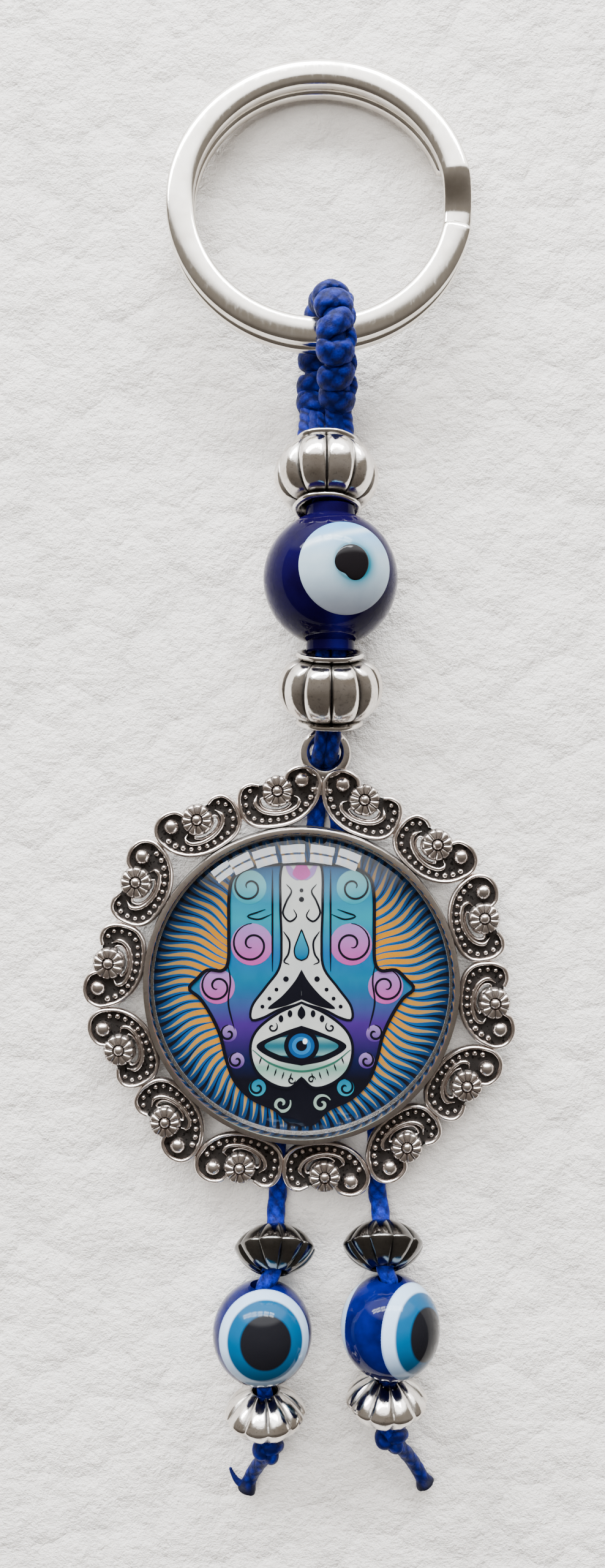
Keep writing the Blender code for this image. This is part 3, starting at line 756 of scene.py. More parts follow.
def make_loop():
    """Knotting cord tied in interlaced wraps round the doubled core cord."""
    path = smooth_path(LOOP_ROUTE, 0.1)
    tangent, side, up = frames(path, (1.0, 0.0, 0.0))
    along = travel(path)
    total = along[-1]
    shape = Shape()
    sweep(shape, path[8:-8], 1.05, 0.85, sides=20, shade=0.75)
    angle = turns_of(96)
    first, last = WRAP_CLEAR, total - WRAP_CLEAR
    count = round((last - first) / WRAP_PITCH)
    rng = random.Random(7)
    for k in range(count + 1):
        at = first + (last - first) * k / count
        lean = (0.42 if k % 2 else -0.16) * (1.0 + rng.uniform(-0.3, 0.3))
        wide = WRAP_OFFSET[0] + rng.uniform(-0.06, 0.06)
        where = np.clip(at + lean * np.cos(angle) + 0.12 * np.sin(2 * angle + k), 0.0, total)
        centre, local_side, local_up = (
            np.stack([np.interp(where, along, of[:, c]) for c in range(3)], axis=1)
            for of in (path, side, up))
        ring = (centre + local_side * (wide * np.cos(angle))[:, None]
                + local_up * (WRAP_OFFSET[1] * np.sin(angle))[:, None])
        outward = local_side * np.cos(angle)[:, None] + local_up * np.sin(angle)[:, None]
        sweep(shape, ring, *WRAP_HALF, sides=28, side=outward, closed=True, relief=braid(0.13, 1.5),
              shade=rng.uniform(0.30, 0.46))
        knob = min(int(np.interp(at + 0.5 * WRAP_PITCH, along, np.arange(len(path)))),
                   len(path) - 1)
        spot = path[knob] + side[knob] * 1.35 + up[knob] * 0.1
        curl = np.linspace(0.0, np.pi, 12)[:, None]
        arch = spot + tangent[knob] * 0.75 * np.cos(curl) + side[knob] * 0.32 * np.sin(curl)
        sweep(shape, arch, HITCH_HALF, sides=16, side=up[knob], relief=twist(3, 2.4, 0.05),
              shade=0.45)
    for ends, offsets in ((LOOP_ROUTE[:4], (-0.55, 0.75)), (LOOP_ROUTE[:-5:-1], (-0.75, 0.55))):
        for k, dx in enumerate(offsets):
            toward = 2.4 + math.copysign(0.9, dx)
            mouth = (toward, 28.9, 4.5 + (0.62 if ends[0] == LOOP_ROUTE[0] else -0.62))
            route = [mouth, (ends[0][0] + dx, ends[0][1], ends[0][2])]
            route += [(p[0] + dx * 0.8, p[1], p[2]) for p in ends[1:3]]
            sweep(shape, smooth_path(route, 0.12), 0.80, sides=20,
                  relief=twist(3, 3.0, 0.08), shade=0.35 + 0.1 * k)
    shape.piece("knotted_cord_loop", "strand", "cord", CORD, (
        "knotted_loop", "strand_cord_left", "strand_cord_right"))


def make_strand_cords():
    """The two core cords through the beads and down through the pendant's eyelet."""
    for side, dx in (("left", -CORD_APART), ("right", CORD_APART)):
        shape = Shape()
        route = [(x + dx, y, z) for x, y, z in EYELET_ROUTE]
        sweep(shape, smooth_path(route, 0.12), 0.66, sides=20, relief=braid(0.08, 1.5), shade=0.3)
        cord = shape.piece("eyelet_cord_" + side, None, "cord", CORD, ("eyelet_cord",))
        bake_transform(cord)
        inner = Shape()
        route = [(x + 1.3 * dx, y, z) for x, y, z in STRAND_ROUTE]
        sweep(inner, smooth_path(route, 0.2), 0.74, sides=16, relief=braid(0.06, 1.25))
        inner.piece("strand_core_" + side, "strand", "cord", CORD)


# ---------------------------------------------------------------- key ring and beads

def make_key_ring():
    """Two flat coils of plated wire, rounded at the sides, climbing at the jog."""
    turns = 720.0 - RING_JOG - 12.0
    climb_from = 360.0 - RING_JOG - 4.0
    steps, sides = 520, 24
    turned_by = np.linspace(0.0, turns, steps + 1)
    share = unit((turned_by - climb_from) / RING_JOG)
    height = RING_COIL_PITCH * (share * share * (3 - 2 * share) - 0.5)
    angle = np.radians(RING_START + turned_by)[:, None]
    section = turns_of(sides)
    across = RING_HALF_WIDTH * np.sign(np.cos(section)) * np.abs(np.cos(section)) ** 0.75
    rise = RING_HALF_COIL * np.sign(np.sin(section)) * np.abs(np.sin(section)) ** 0.5
    to_end = np.minimum(turned_by, turns - turned_by)
    taper = np.sqrt(unit(to_end / 1.6)) * 0.35 + 0.65
    radius = RING_MEAN_R + across[None] * taper[:, None]
    points = np.stack([radius * np.cos(angle) + RING_SHIFT_X, radius * np.sin(angle) + RING_MEAN_R,
                       height[:, None] + rise[None] * taper[:, None]], axis=-1)
    tilt = np.array(Matrix.Rotation(math.radians(-RING_TILT), 3, "X"))
    pivot = np.array(JOINTS["ring_swing"]["pos_m"]) / MM
    points = points.reshape(-1, 3) @ tilt.T + pivot
    faces = grid_faces(steps + 1, sides, False, True)
    faces.append(tuple(reversed(range(sides))))
    faces.append(tuple(range(steps * sides, (steps + 1) * sides)))
    shape = Shape()
    shape.add(points, faces)
    shape.piece("split_key_ring", "ring", "nickel", nickel_material(), ("key_ring",), 50.0)


def lantern_profile():
    """Lip, necked and bulging side, lip, then a mouth that narrows to the bore."""
    steps = 46
    rim, top = 0.55, LANTERN_HALF
    lip = [(LANTERN_RIM_R - 0.16, top), (LANTERN_RIM_R, top - 0.12), (LANTERN_RIM_R, top - 0.36),
           (LANTERN_RIM_R - 0.18, top - rim)]
    reach = top - rim - 0.2
    side = []
    for k in range(steps + 1):
        height = reach * math.cos(math.pi * k / steps)
        bulge = math.sin(math.pi * k / steps) ** 0.9
        side.append((LANTERN_NECK_R + (LANTERN_R - LANTERN_NECK_R) * bulge, height))
    bottom = [(r, -z) for r, z in reversed(lip)]
    bore = [(LANTERN_MOUTH_R, -top), (STRAND_BORE_R, -top + 1.1), (STRAND_BORE_R, top - 1.1),
            (LANTERN_MOUTH_R, top)]
    return lip + side + bottom + bore


def make_lantern(name, joint, body, phase, seed):
    """Lobed bead: plump lobes, deep seams, and a wavy rim at each end."""
    rng = random.Random(seed)
    lift = [rng.uniform(-1.0, 1.0) for _ in range(LANTERN_LOBES)]

    def lobes(angle):
        turn = (LANTERN_LOBES * (angle + phase) / (2 * np.pi)) % LANTERN_LOBES
        return np.floor(turn).astype(int), 2 * (turn - np.floor(turn)) - 1

    def radius(angle, r, z):
        index, across = lobes(angle)
        crown = np.sqrt(unit(1.0 - np.abs(across) ** 2.4))
        body_part = unit((r - LANTERN_NECK_R) / (LANTERN_R - LANTERN_NECK_R))
        inside = (np.abs(z) < LANTERN_HALF - 0.6) & (r > LANTERN_NECK_R - 0.01)
        lobed = r * (0.85 + 0.15 * crown + 0.008 * np.array(lift)[index])
        rim = r * (1.0 + 0.022 * np.sin(3 * angle + seed) + 0.012 * np.sin(7 * angle + 2 * seed))
        bore = r < LANTERN_MOUTH_R + 0.001
        return np.where(bore & ~inside, r, np.where(inside & (body_part > 0.0), lobed, rim))

    def shade(angle, r, z):
        across = lobes(angle)[1]
        seam = unit(np.abs(across) - 0.80) / 0.20
        inside = (np.abs(z) < LANTERN_HALF - 0.6) & (r > LANTERN_NECK_R - 0.01)
        neck = np.exp(-((np.abs(z) - (LANTERN_HALF - 0.72)) / 0.22) ** 2)
        # Painted shade: the bore is dark all over.
        bore = np.where(r < STRAND_BORE_R + 0.1, 1.0, 0.0)
        return np.where(inside, 0.95 * seam ** 1.5, 0.0) + 0.7 * neck + bore

    shape = Shape()
    turned(shape, lantern_profile(), 240, joint_place(joint), radius, shade)
    shape.piece(name, body, "silver", SILVER_POLISHED, (name.replace("lobed", "lantern"),), 60.0)


def make_large_eye():
    """Violet glass bead with a white disc, a soft turquoise halo and a two-lobed pupil; its tint is
    a painted glow.
    """
    centre = Vector(JOINTS["glass_eye_spin"]["pos_m"]) / MM
    neck, bore = GLASS_NECK_R, STRAND_BORE_R - 0.25
    start = math.asin(neck / GLASS_R)
    mouth = [(bore, GLASS_HALF), (neck - 0.15, GLASS_HALF), (neck, GLASS_HALF - 0.15)]
    profile = list(mouth)
    for k in range(61):
        away = start + (math.pi - 2 * start) * k / 60
        profile.append((GLASS_R * math.sin(away), GLASS_R * math.cos(away)))
    profile += [(r, -z) for r, z in reversed(mouth)]
    shape = Shape()
    turned(shape, profile, 120, place(centre, (0.0, 1.0, 0.0)))
    points = shape.points[0] - np.array(centre)
    # Painted light: a brighter blue band below the middle, where light shows through the glass and
    # its bore, and lighter edges at the sides.
    painted_light_streak = np.exp(-((points[:, 0] - 0.75) / 0.9) ** 2) * unit(-points[:, 1] / 4.0 - 0.5)
    painted_rim_glow = unit(np.hypot(points[:, 0], points[:, 1]) / GLASS_R - 0.86) / 0.14
    painted_rim_glow = painted_rim_glow * (np.abs(points[:, 1]) < 5.5)
    glow = unit(0.8 * painted_light_streak + 0.12 * painted_rim_glow)[:, None]
    dark, bright = np.array((0.003, 0.0008, 0.020)), np.array((0.014, 0.004, 0.20))
    shape.tint[0] = dark * (1 - glow) + bright * glow
    shape.piece("glass_bead", "glass_eye", "violet_glass", violet_glass_material(),
                ("large_eye_glass",))
    make_large_eye_white(centre)
    make_large_eye_pupil(centre)


def make_large_eye_white(centre):
    turn = eye_frame(WHITE_AXIS)
    rings, around = 60, 180
    away = np.radians(WHITE_ANGLE) * np.linspace(0.0, 1.0, rings)[:, None]
    round_ = turns_of(around)[None]
    edge = 1.0 - 0.006 * unit((np.linspace(0, 1, rings)[:, None] - 0.97) / 0.03)
    wobble = 1.0 + 0.012 * np.sin(2 * round_ + 0.6) + 0.008 * np.sin(3 * round_)
    away = away * wobble
    points = cap_point(centre, turn, 1.0, away, round_ * np.ones_like(away))
    outward = points - np.array(centre)
    points = np.array(centre) + outward * (GLASS_R + 0.03) * np.broadcast_to(edge, away.shape
                                                                              ).reshape(-1, 1)
    local = outward @ np.array(eye_frame(PUPIL_AXIS))
    from_pupil = np.degrees(np.arccos(np.clip(local[:, 2], -1, 1)))
    towards = np.arctan2(local[:, 1], local[:, 0])
    high = outward[:, 1]
    white = np.array((0.34, 0.45, 0.53))
    colour = np.repeat(white[None], len(points), axis=0)

    def blend(base, other, weight):
        weight = unit(weight)[:, None]
        return base * (1 - weight) + np.array(other) * weight

    # Painted shade: darker towards the bottom. Bluer towards the top.
    colour = blend(colour, (0.24, 0.27, 0.33), (-high - 0.05) / 0.5)
    colour = blend(colour, (0.09, 0.30, 0.56), (high - 0.16) / 0.42 * 0.9)
    # Painted reflection of the window: a pale band across the upper part.
    painted_light_streak = np.exp(-((high - 0.44 - 0.3 * outward[:, 0]) / 0.05) ** 2)
    colour = blend(colour, (0.60, 0.72, 0.80), 0.6 * painted_light_streak)
    strength = 0.62 + 0.38 * np.cos(towards + 0.6)
    halo = strength * np.exp(-(np.clip(from_pupil - 14.0, 0, None) / 7.5) ** 2)
    colour = blend(colour, (0.0, 0.17, 0.25), halo)
    dark_rim = np.exp(-((from_pupil - 14.8) / 1.5) ** 2)
    colour = blend(colour, (0.0, 0.07, 0.10), 0.6 * dark_rim)
    shape = Shape()
    shape.add(points, grid_faces(rings, around), tint=colour)
    shape.piece("eye_disc_large", "glass_eye", "white", ENAMEL,
                ("large_eye_white", "large_eye_halo"))


def make_large_eye_pupil(centre):
    turn = eye_frame(PUPIL_AXIS)
    rings, around = 16, 96
    round_ = turns_of(around)[None]
    lobe = 14.2 * np.ones_like(round_)
    for middle, width, rise in ((4.95, 0.55, 1.9), (3.35, 0.50, 1.5), (4.15, 0.28, -1.5)):
        off = np.mod(round_ - middle + np.pi, 2 * np.pi) - np.pi
        lobe = lobe + rise * np.exp(-(off / width) ** 2)
    share = np.linspace(0.0, 1.0, rings)[:, None]
    away = np.radians(lobe) * share
    lift = 0.10 * np.sqrt(unit(1.0 - share ** 4)) * np.ones_like(round_)
    points = cap_point((0, 0, 0), turn, 1.0, away, round_ * np.ones_like(away))
    points = points * (GLASS_R + 0.02 + lift).reshape(-1, 1) + np.array(centre)
    shape = Shape()
    shape.add(points, grid_faces(rings, around), tint=(0.006, 0.005, 0.006))
    shape.piece("pupil_large", "glass_eye", "black", ENAMEL, ("large_eye_pupil",))


def make_small_eye(side):
    """Cobalt bead with soft-edged white, turquoise and black layers on both faces, painted darker
    towards the bottom as shade.
    """
    joint = f"eye_{side}_spin"
    centre = Vector(JOINTS[joint]["pos_m"]) / MM
    body = "eye_" + side
    bore = 1.2
    start = math.asin(bore / EYE_R)
    profile = []
    for k in range(49):
        away = start + (math.pi - 2 * start) * k / 48
        profile.append((EYE_R * math.sin(away), EYE_R * math.cos(away)))
    profile += [(bore, -EYE_R * math.cos(start) + 0.2), (bore, EYE_R * math.cos(start) - 0.2)]
    shape = Shape()
    turned(shape, profile, 96, place(centre, (0.0, 1.0, 0.0)))
    shape.piece("resin_bead_" + side, body, "cobalt", COBALT, ("eye_bead_" + side,))
    front = eye_frame(EYE_AXES[side])
    back = front @ Matrix.Rotation(math.pi, 3, "Y")
    for face, turn in (("front", front), ("back", back)):
        rings, around = 72, 120
        away = np.radians(EYE_WHITE) * np.linspace(0.0, 1.0, rings)[:, None]
        round_ = turns_of(around)[None]
        outward = cap_point((0, 0, 0), turn, 1.0, away * np.ones_like(round_),
                            round_ * np.ones_like(away))
        outward = outward / np.linalg.norm(outward, axis=1, keepdims=True)
        angle = np.degrees(np.broadcast_to(away, (rings, around))).ravel()
        high = outward[:, 1][:, None]
        lift = 0.012 * unit((EYE_WHITE - angle) / 1.5) - 0.002
        # Painted shade: the white and turquoise darken towards the bottom of each face.
        low = unit(-high * 1.3)
        white = np.array((0.38, 0.52, 0.70)) * (1 - low) + np.array((0.13, 0.19, 0.27)) * low
        blue = np.array((0.0, 0.062, 0.150)) * (1 - low) + np.array((0.0, 0.032, 0.075)) * low
        to_blue = unit((EYE_TURQUOISE + 1.0 - angle) / 2.6)[:, None]
        to_black = unit((EYE_BLACK + 0.8 - angle) / 2.2)[:, None]
        rim = unit((angle - EYE_WHITE + 2.5) / 2.5)[:, None]
        colour = white * (1 - to_blue) + blue * to_blue
        colour = colour * (1 - to_black) + np.array((0.006, 0.006, 0.008)) * to_black
        colour = colour * (1 - 0.6 * rim) + np.array((0.02, 0.06, 0.30)) * 0.6 * rim
        layers = Shape()
        layers.add(outward * (EYE_R + lift)[:, None] + np.array(centre),
                   grid_faces(rings, around), tint=colour)
        layers.piece(f"eye_layers_{side}_{face}", body, "white", ENAMEL,
                     [f"eye_bead_{side}_{face}_{c}" for c in ("black", "turquoise", "white")])


def make_bicone(name, joint, body, slot, material, phase):
    """Fluted bicone with petals pinched at the ends and a sharp equator."""
    steps = 26
    profile = []
    for k in range(steps + 1):
        turn = math.pi / 2 * k / steps
        t = k / steps
        bulge = 0.5 * math.sin(turn) ** 1.2 + 0.5 * t ** 0.92
        fall = 0.5 * math.cos(turn) + 0.5 * (1.0 - t ** 1.15)
        profile.append((BICONE_END_R + (BICONE_R - BICONE_END_R) * bulge,
                        0.08 + (BICONE_HALF - 0.08) * fall))
    profile += [(r, -z) for r, z in reversed(profile)]
    profile = [(BICONE_BORE_R + 0.1, BICONE_HALF)] + profile + [(BICONE_BORE_R + 0.1, -BICONE_HALF)]
    profile += [(BICONE_BORE_R, 0.3 - BICONE_HALF), (BICONE_BORE_R, BICONE_HALF - 0.3)]

    def across(angle):
        turn = BICONE_FLUTES * (angle + phase) / (2 * np.pi)
        return 2 * (turn - np.floor(turn)) - 1

    def radius(angle, r, z):
        crown = np.sqrt(unit(1.0 - np.abs(across(angle)) ** 2.2))
        middle = unit((r - BICONE_END_R) / (BICONE_R - BICONE_END_R))
        depth = 0.07 + 0.13 * unit(np.sin(np.pi * middle ** 0.8)) ** 0.7
        return np.where(r > BICONE_END_R + 0.02, r * (1.0 - depth * (1.0 - crown)), r)

    def shade(angle, r, z):
        seam = unit(np.abs(across(angle)) - 0.62) / 0.38
        middle = unit((r - BICONE_END_R) / (BICONE_R - BICONE_END_R))
        groove = unit(np.sin(np.pi * middle ** 0.8)) ** 0.5
        # Painted shade: the bore is dark all over.
        bore = np.where(r < BICONE_BORE_R + 0.05, 1.0, 0.0)
        return 0.9 * groove * seam ** 1.4 + bore

    shape = Shape()
    turned(shape, profile, 200, joint_place(joint), radius, shade)
    shape.piece("fluted_" + name, body, slot, material, (name,), 50.0)


# ---------------------------------------------------------------- pendant

def pendant_point(degrees, radius, z):
    """A point round the pendant; the angle counts from its eyelet, to the left."""
    angle = np.radians(np.asarray(degrees, float) + PENDANT_TURN)
    radius = np.asarray(radius, float)
    return np.stack([PENDANT[0] - radius * np.sin(angle), PENDANT[1] + radius * np.cos(angle),
                     np.broadcast_to(np.asarray(z, float), radius.shape)], axis=-1)


RIM = [(10.8, 20.1), (9.3, 21.15), (6.1, 21.62), (2.8, 21.35), (0.85, 20.4), (0.8, 19.2),
       (1.8, 18.05), (4.7, 16.9), (9.8, 16.1), (16.2, 15.95), (21.8, 16.35), (24.6, 17.25),
       (25.1, 18.4), (24.5, 19.5), (22.8, 20.3), (20.3, 20.5), (18.0, 20.2)]
INNER = [(19.0, 19.35), (20.4, 18.55), (18.8, 17.65), (15.0, 17.15), (10.6, 17.2), (7.3, 17.75),
         (6.7, 18.45), (8.2, 18.75)]
SLOT = [(18.7, 18.7), (18.2, 18.0), (15.4, 17.5), (11.5, 17.5), (9.2, 18.0), (11.0, 18.15),
        (13.2, 17.9), (16.0, 18.1), (17.5, 18.9)]
BALL_AT = (5.85, 20.3)
BALL_R = 0.80
FLOWER_AT = (13.0, 19.35)
FLOWER_R = 1.6
FLOWER_Z = 3.15
PETALS = 11
GRAINS = 14
RIDGES = {"rim": (0.48, 0.25), "crescent": (0.42, 0.24), "slot": (0.30, 0.13)}


def scroll_curve(points, pair, side, spacing, closed=False):
    """A curve of one scroll, given as (degrees, radius), in the plane of the border."""
    middle = pair * 360.0 / PAIRS
    flat = [pendant_point(middle + side * d, r, 0.0)[:2] for d, r in points]
    return smooth_path(flat, spacing, closed)


def at_height(curve, z):
    return np.column_stack([curve, np.full(len(curve), z)])


def plate(shape, outline, hole, low, high, shade):
    """A flat plate with one opening."""
    flat = np.vstack([outline, hole])
    count = len(flat)
    top = np.column_stack([flat, np.full(count, high)])
    bottom = np.column_stack([flat, np.full(count, low)])
    faces = []
    for face in upward_triangles(flat, (outline, hole)):
        faces += [face, tuple(k + count for k in reversed(face))]
    begin = 0
    for loop in (outline, hole):
        n = len(loop)
        for k in range(n):
            m = (k + 1) % n
            faces.append((begin + k, begin + m, begin + m + count, begin + k + count))
        begin += n
    shape.add(np.vstack([top, bottom]), faces, shade)


def dome_bump(shape, centre, radius, squash, low, shade_edge=0.6, rings=7, around=20):
    """A small round stud."""
    away = (np.pi / 2) * np.linspace(0.0, 1.0, rings)[:, None]
    round_ = turns_of(around)[None]
    x = centre[0] + radius * np.sin(away) * np.cos(round_)
    y = centre[1] + radius * np.sin(away) * np.sin(round_)
    z = low + squash * radius * np.cos(away) * np.ones_like(round_)
    dark = shade_edge * np.linspace(0.0, 1.0, rings)[:, None] ** 6 * np.ones_like(round_)
    shape.add(np.stack([x, y, z], axis=-1), grid_faces(rings, around), dark.ravel())


def flower(shape, centre, turn):
    """Round flower of wedge petals about a ball."""
    rings, around = 16, 176
    share = np.linspace(0.0, 1.0, rings)[:, None]
    round_ = turns_of(around)[None]
    turn_by = PETALS * (round_ + turn) / (2 * np.pi)
    across = np.abs(2 * (turn_by - np.floor(turn_by)) - 1)
    groove = unit((across - 0.62) / 0.38)
    body = unit((share - 0.28) / 0.12) * unit((1.0 - share) / 0.1)
    rounded = np.sqrt(unit(1.0 - (0.9 * across) ** 2))
    lift = (0.40 + 0.16 * np.sin(np.pi * share)) * body * (0.35 + 0.65 * rounded)
    radius = FLOWER_R * share * (1.0 - 0.05 * groove)
    x = centre[0] + radius * np.cos(round_)
    y = centre[1] + radius * np.sin(round_)
    z = FLOWER_Z + lift
    dark = unit(0.9 * groove ** 2.0 + (1.0 - body) * 0.75)
    shape.add(np.stack([x, y, z * np.ones_like(x)], axis=-1), grid_faces(rings, around),
              dark.ravel())
    wall = np.stack([np.stack([x[-1], y[-1], np.full(around, level)], axis=-1)
                     for level in (FLOWER_Z, PLATE_LOW)])
    shape.add(wall, grid_faces(2, around), 0.7)
    dome_bump(shape, centre, 0.52, 1.0, 3.42)


def make_border():
    """Fourteen scrolls in mirrored pairs, each with beads, a flower and a ball."""
    plates, ridges, beads, flowers = Shape(), Shape(), Shape(), Shape()
    rng = random.Random(3)
    for pair in range(PAIRS):
        for side in (-1, 1):
            rim = scroll_curve(RIM, pair, side, 0.16)
            inner = scroll_curve(INNER, pair, side, 0.16)
            slot = scroll_curve(SLOT, pair, side, 0.22, True)
            plate(plates, rim, slot, PLATE_LOW, PLATE_TOP, 0.93)
            sweep(ridges, at_height(rim, PLATE_TOP), *RIDGES["rim"], sides=16, side=UP)
            ends = np.minimum(np.arange(len(inner)), np.arange(len(inner))[::-1])
            narrow = np.clip(ends / 5.0, 0.25, 1.0)
            wide, tall = RIDGES["crescent"]
            sweep(ridges, at_height(inner, PLATE_TOP), wide * narrow, tall * narrow, sides=16,
                  side=UP)
            sweep(ridges, at_height(slot, PLATE_TOP - 0.1), *RIDGES["slot"], sides=12, side=UP,
                  closed=True, shade=0.1)
            make_beads(beads, rim, side, rng)
            middle = pair * 360.0 / PAIRS
            ball = pendant_point(middle + side * BALL_AT[0], BALL_AT[1], 0.0)
            dome_bump(beads, ball, BALL_R, 1.15, PLATE_TOP - 0.05, 0.5, 12, 32)
            petal = pendant_point(middle + side * FLOWER_AT[0], FLOWER_AT[1], 0.0)
            flower(flowers, petal, rng.uniform(0.0, 1.0))
    plates.piece("border_plates", "pendant", "silver", SILVER_CAST, ("pendant_tray",), 30.0)
    ridges.piece("border_rims", "pendant", "silver", SILVER_CAST)
    beads.piece("border_grains", "pendant", "silver", SILVER_CAST)
    flowers.piece("border_flowers", "pendant", "silver", SILVER_CAST, angle=50.0)


def make_beads(shape, rim, side, rng):
    """A row of grains in the channel inside a scroll's rim."""
    tangent = np.gradient(rim, axis=0)
    tangent /= np.linalg.norm(tangent, axis=1, keepdims=True)
    normal = np.column_stack([-tangent[:, 1], tangent[:, 0]]) * (-side)
    centre = rim.mean(axis=0)
    if np.sum((centre - rim[len(rim) // 2]) * normal[len(rim) // 2]) < 0:
        normal = -normal
    line = rim + 0.62 * normal
    first, last = int(len(rim) * 0.30), int(len(rim) * 0.95)
    track = line[first:last]
    lengths = travel(track)
    for k in range(GRAINS):
        at = lengths[-1] * k / (GRAINS - 1)
        spot = [np.interp(at, lengths, track[:, c]) for c in range(2)]
        radius = (0.30 if k < 3 else 0.24) * rng.uniform(0.92, 1.08)
        dome_bump(shape, spot, radius, 1.2, PLATE_TOP)


def make_cup():
    """Cup with a smooth bezel, its floor, and the eyelet on its neck."""
    inner = BEZEL_R - 0.65
    profile = [(0.02, BACK_Z), (0.02, CUP_FLOOR), (inner, CUP_FLOOR), (inner, BEZEL_TOP - 0.15),
               (inner + 0.08, BEZEL_TOP - 0.02), (BEZEL_R - 0.30, BEZEL_TOP),
               (BEZEL_R - 0.08, BEZEL_TOP - 0.12), (BEZEL_R, BEZEL_TOP - 0.4),
               (BEZEL_R, 3.4), (BEZEL_R + 0.12, 3.1), (BEZEL_R, BACK_Z), (8.0, BACK_Z)]

    def shade(angle, r, z):
        # Painted shade on the bezel's inner wall and at its foot, where it meets the border.
        inside = np.where((r < inner + 0.01) & (z < BEZEL_TOP - 0.3), 0.35, 0.0)
        foot = np.where((r > BEZEL_R - 0.05) & (z < 3.6), 0.75, 0.0)
        return inside + foot

    shape = Shape()
    turned(shape, profile, 240, place((*PENDANT, 0.0)), None, shade)
    shape.piece("pendant_cup", "pendant", "silver", SILVER_SATIN, angle=35.0)
    eyelet = Shape()
    angle = turns_of(96)
    centre = pendant_point(0.0, EYELET_AT, EYELET_Z)
    ring = np.stack([centre[0] + EYELET_R * np.cos(angle), centre[1] + EYELET_R * np.sin(angle),
                     np.full(96, EYELET_Z)], axis=-1)
    sweep(eyelet, ring, EYELET_WIRE_R, sides=24, side=UP, closed=True)
    neck = np.array([pendant_point(0.0, r, EYELET_Z) for r in np.linspace(18.9, 21.2, 14)])
    sweep(eyelet, neck, np.linspace(0.85, 0.55, 14), 0.42, sides=20, shade=0.35)
    eyelet.piece("pendant_eyelet", "pendant", "silver", SILVER_SATIN)


def make_dome():
    rise = DOME_TOP - (DOME_LOW + 1.1)
    ball = (DOME_R ** 2 + rise ** 2) / (2 * rise)
    span = math.asin(DOME_R / ball)
    profile = [(0.02, DOME_LOW), (DOME_R - 0.2, DOME_LOW), (DOME_R, DOME_LOW + 0.25)]
    for k in range(40):
        away = span * (1.0 - k / 40)
        profile.append((ball * math.sin(away), DOME_TOP - ball + ball * math.cos(away)))
    profile.append((0.02, DOME_TOP))
    shape = Shape()
    turned(shape, profile[::-1], 180, place((*PENDANT, 0.0)))
    dome = shape.piece("glass_dome", "pendant", "clear", clear_glass_material(),
                       ("glass_cabochon",), 30.0)
    dome.visible_shadow = False


# ---------------------------------------------------------------- printed picture

INK = (0.003, 0.003, 0.006)
CREAM = (0.46, 0.45, 0.42)
TEAL = (0.0, 0.11, 0.20)
DEEP = (0.004, 0.006, 0.035)
VIOLET = (0.045, 0.012, 0.13)
PINK = (0.36, 0.045, 0.22)
LILAC = (0.26, 0.15, 0.36)
AQUA = (0.005, 0.20, 0.26)
LAYER = 0.008


class Picture:
    """Flat inked shapes laid over one another on the picture's disc."""

    def __init__(self):
        self.shape = Shape()
        self.low = DISC_TOP - 0.16

    def fill(self, points, layer, colour):
        """Fill an outline; colour is a colour or a function of (x, y)."""
        self.add(points, upward_triangles(points, (points,)), layer, colour)

    def add(self, points, faces, layer, colour):
        points = np.asarray(points, float)
        tint = np.array([colour(x, y) for x, y in points]) if callable(colour) else colour
        self.shape.add(at_height(points + np.array(PENDANT), self.low + LAYER * layer), faces,
                       tint=tint)

    def stroke(self, points, width, layer, colour=INK, closed=False):
        """A line of some width, narrowing at its ends if it is open."""
        points = np.asarray(points, float)
        if closed:
            tangent = np.roll(points, -1, axis=0) - np.roll(points, 1, axis=0)
        else:
            tangent = np.gradient(points, axis=0)
        tangent /= np.linalg.norm(tangent, axis=1, keepdims=True) + 1e-9
        normal = np.column_stack([-tangent[:, 1], tangent[:, 0]])
        n = len(points)
        half = np.full(n, width / 2)
        if not closed:
            ends = np.minimum(np.arange(n), np.arange(n)[::-1])
            half = half * np.clip(0.35 + ends / (0.3 * n), 0.35, 1.0)
        both = np.stack([points - normal * half[:, None], points + normal * half[:, None]],
                        axis=1).reshape(-1, 2)
        self.add(both, grid_faces(n, 2, closed, False, True), layer, colour)

    def line(self, points, sense, width, layer, spacing=0.2):
        """A smooth stroke; sense is 1, or -1 for its mirror image."""
        self.stroke(smooth_path([(sense * x, y) for x, y in points], spacing), width, layer)

    def dot(self, x, y, radius, layer, colour, tall=1.0):
        angle = turns_of(28)
        ring = np.column_stack([x + radius * np.cos(angle), y + radius * tall * np.sin(angle)])
        self.fill([tuple(p) for p in ring], layer, colour)


def mirrored(points):
    return [(-x, y) for x, y in points]


def spiral(x, y, radius, turns, start, sense):
    """Points on a spiral that winds in to its centre."""
    share = np.linspace(0.0, 1.0, 48)
    angle = start + sense * 2 * np.pi * turns * share
    reach = radius * (1.0 - 0.86 * share)
    return np.column_stack([x + reach * np.cos(angle), y + reach * np.sin(angle)])


def lerp_colours(stops, value):
    """Colour at a value, between (value, colour) stops in rising order."""
    keys = [s[0] for s in stops]
    return tuple(np.interp(value, keys, [s[1][c] for s in stops]) for c in range(3))


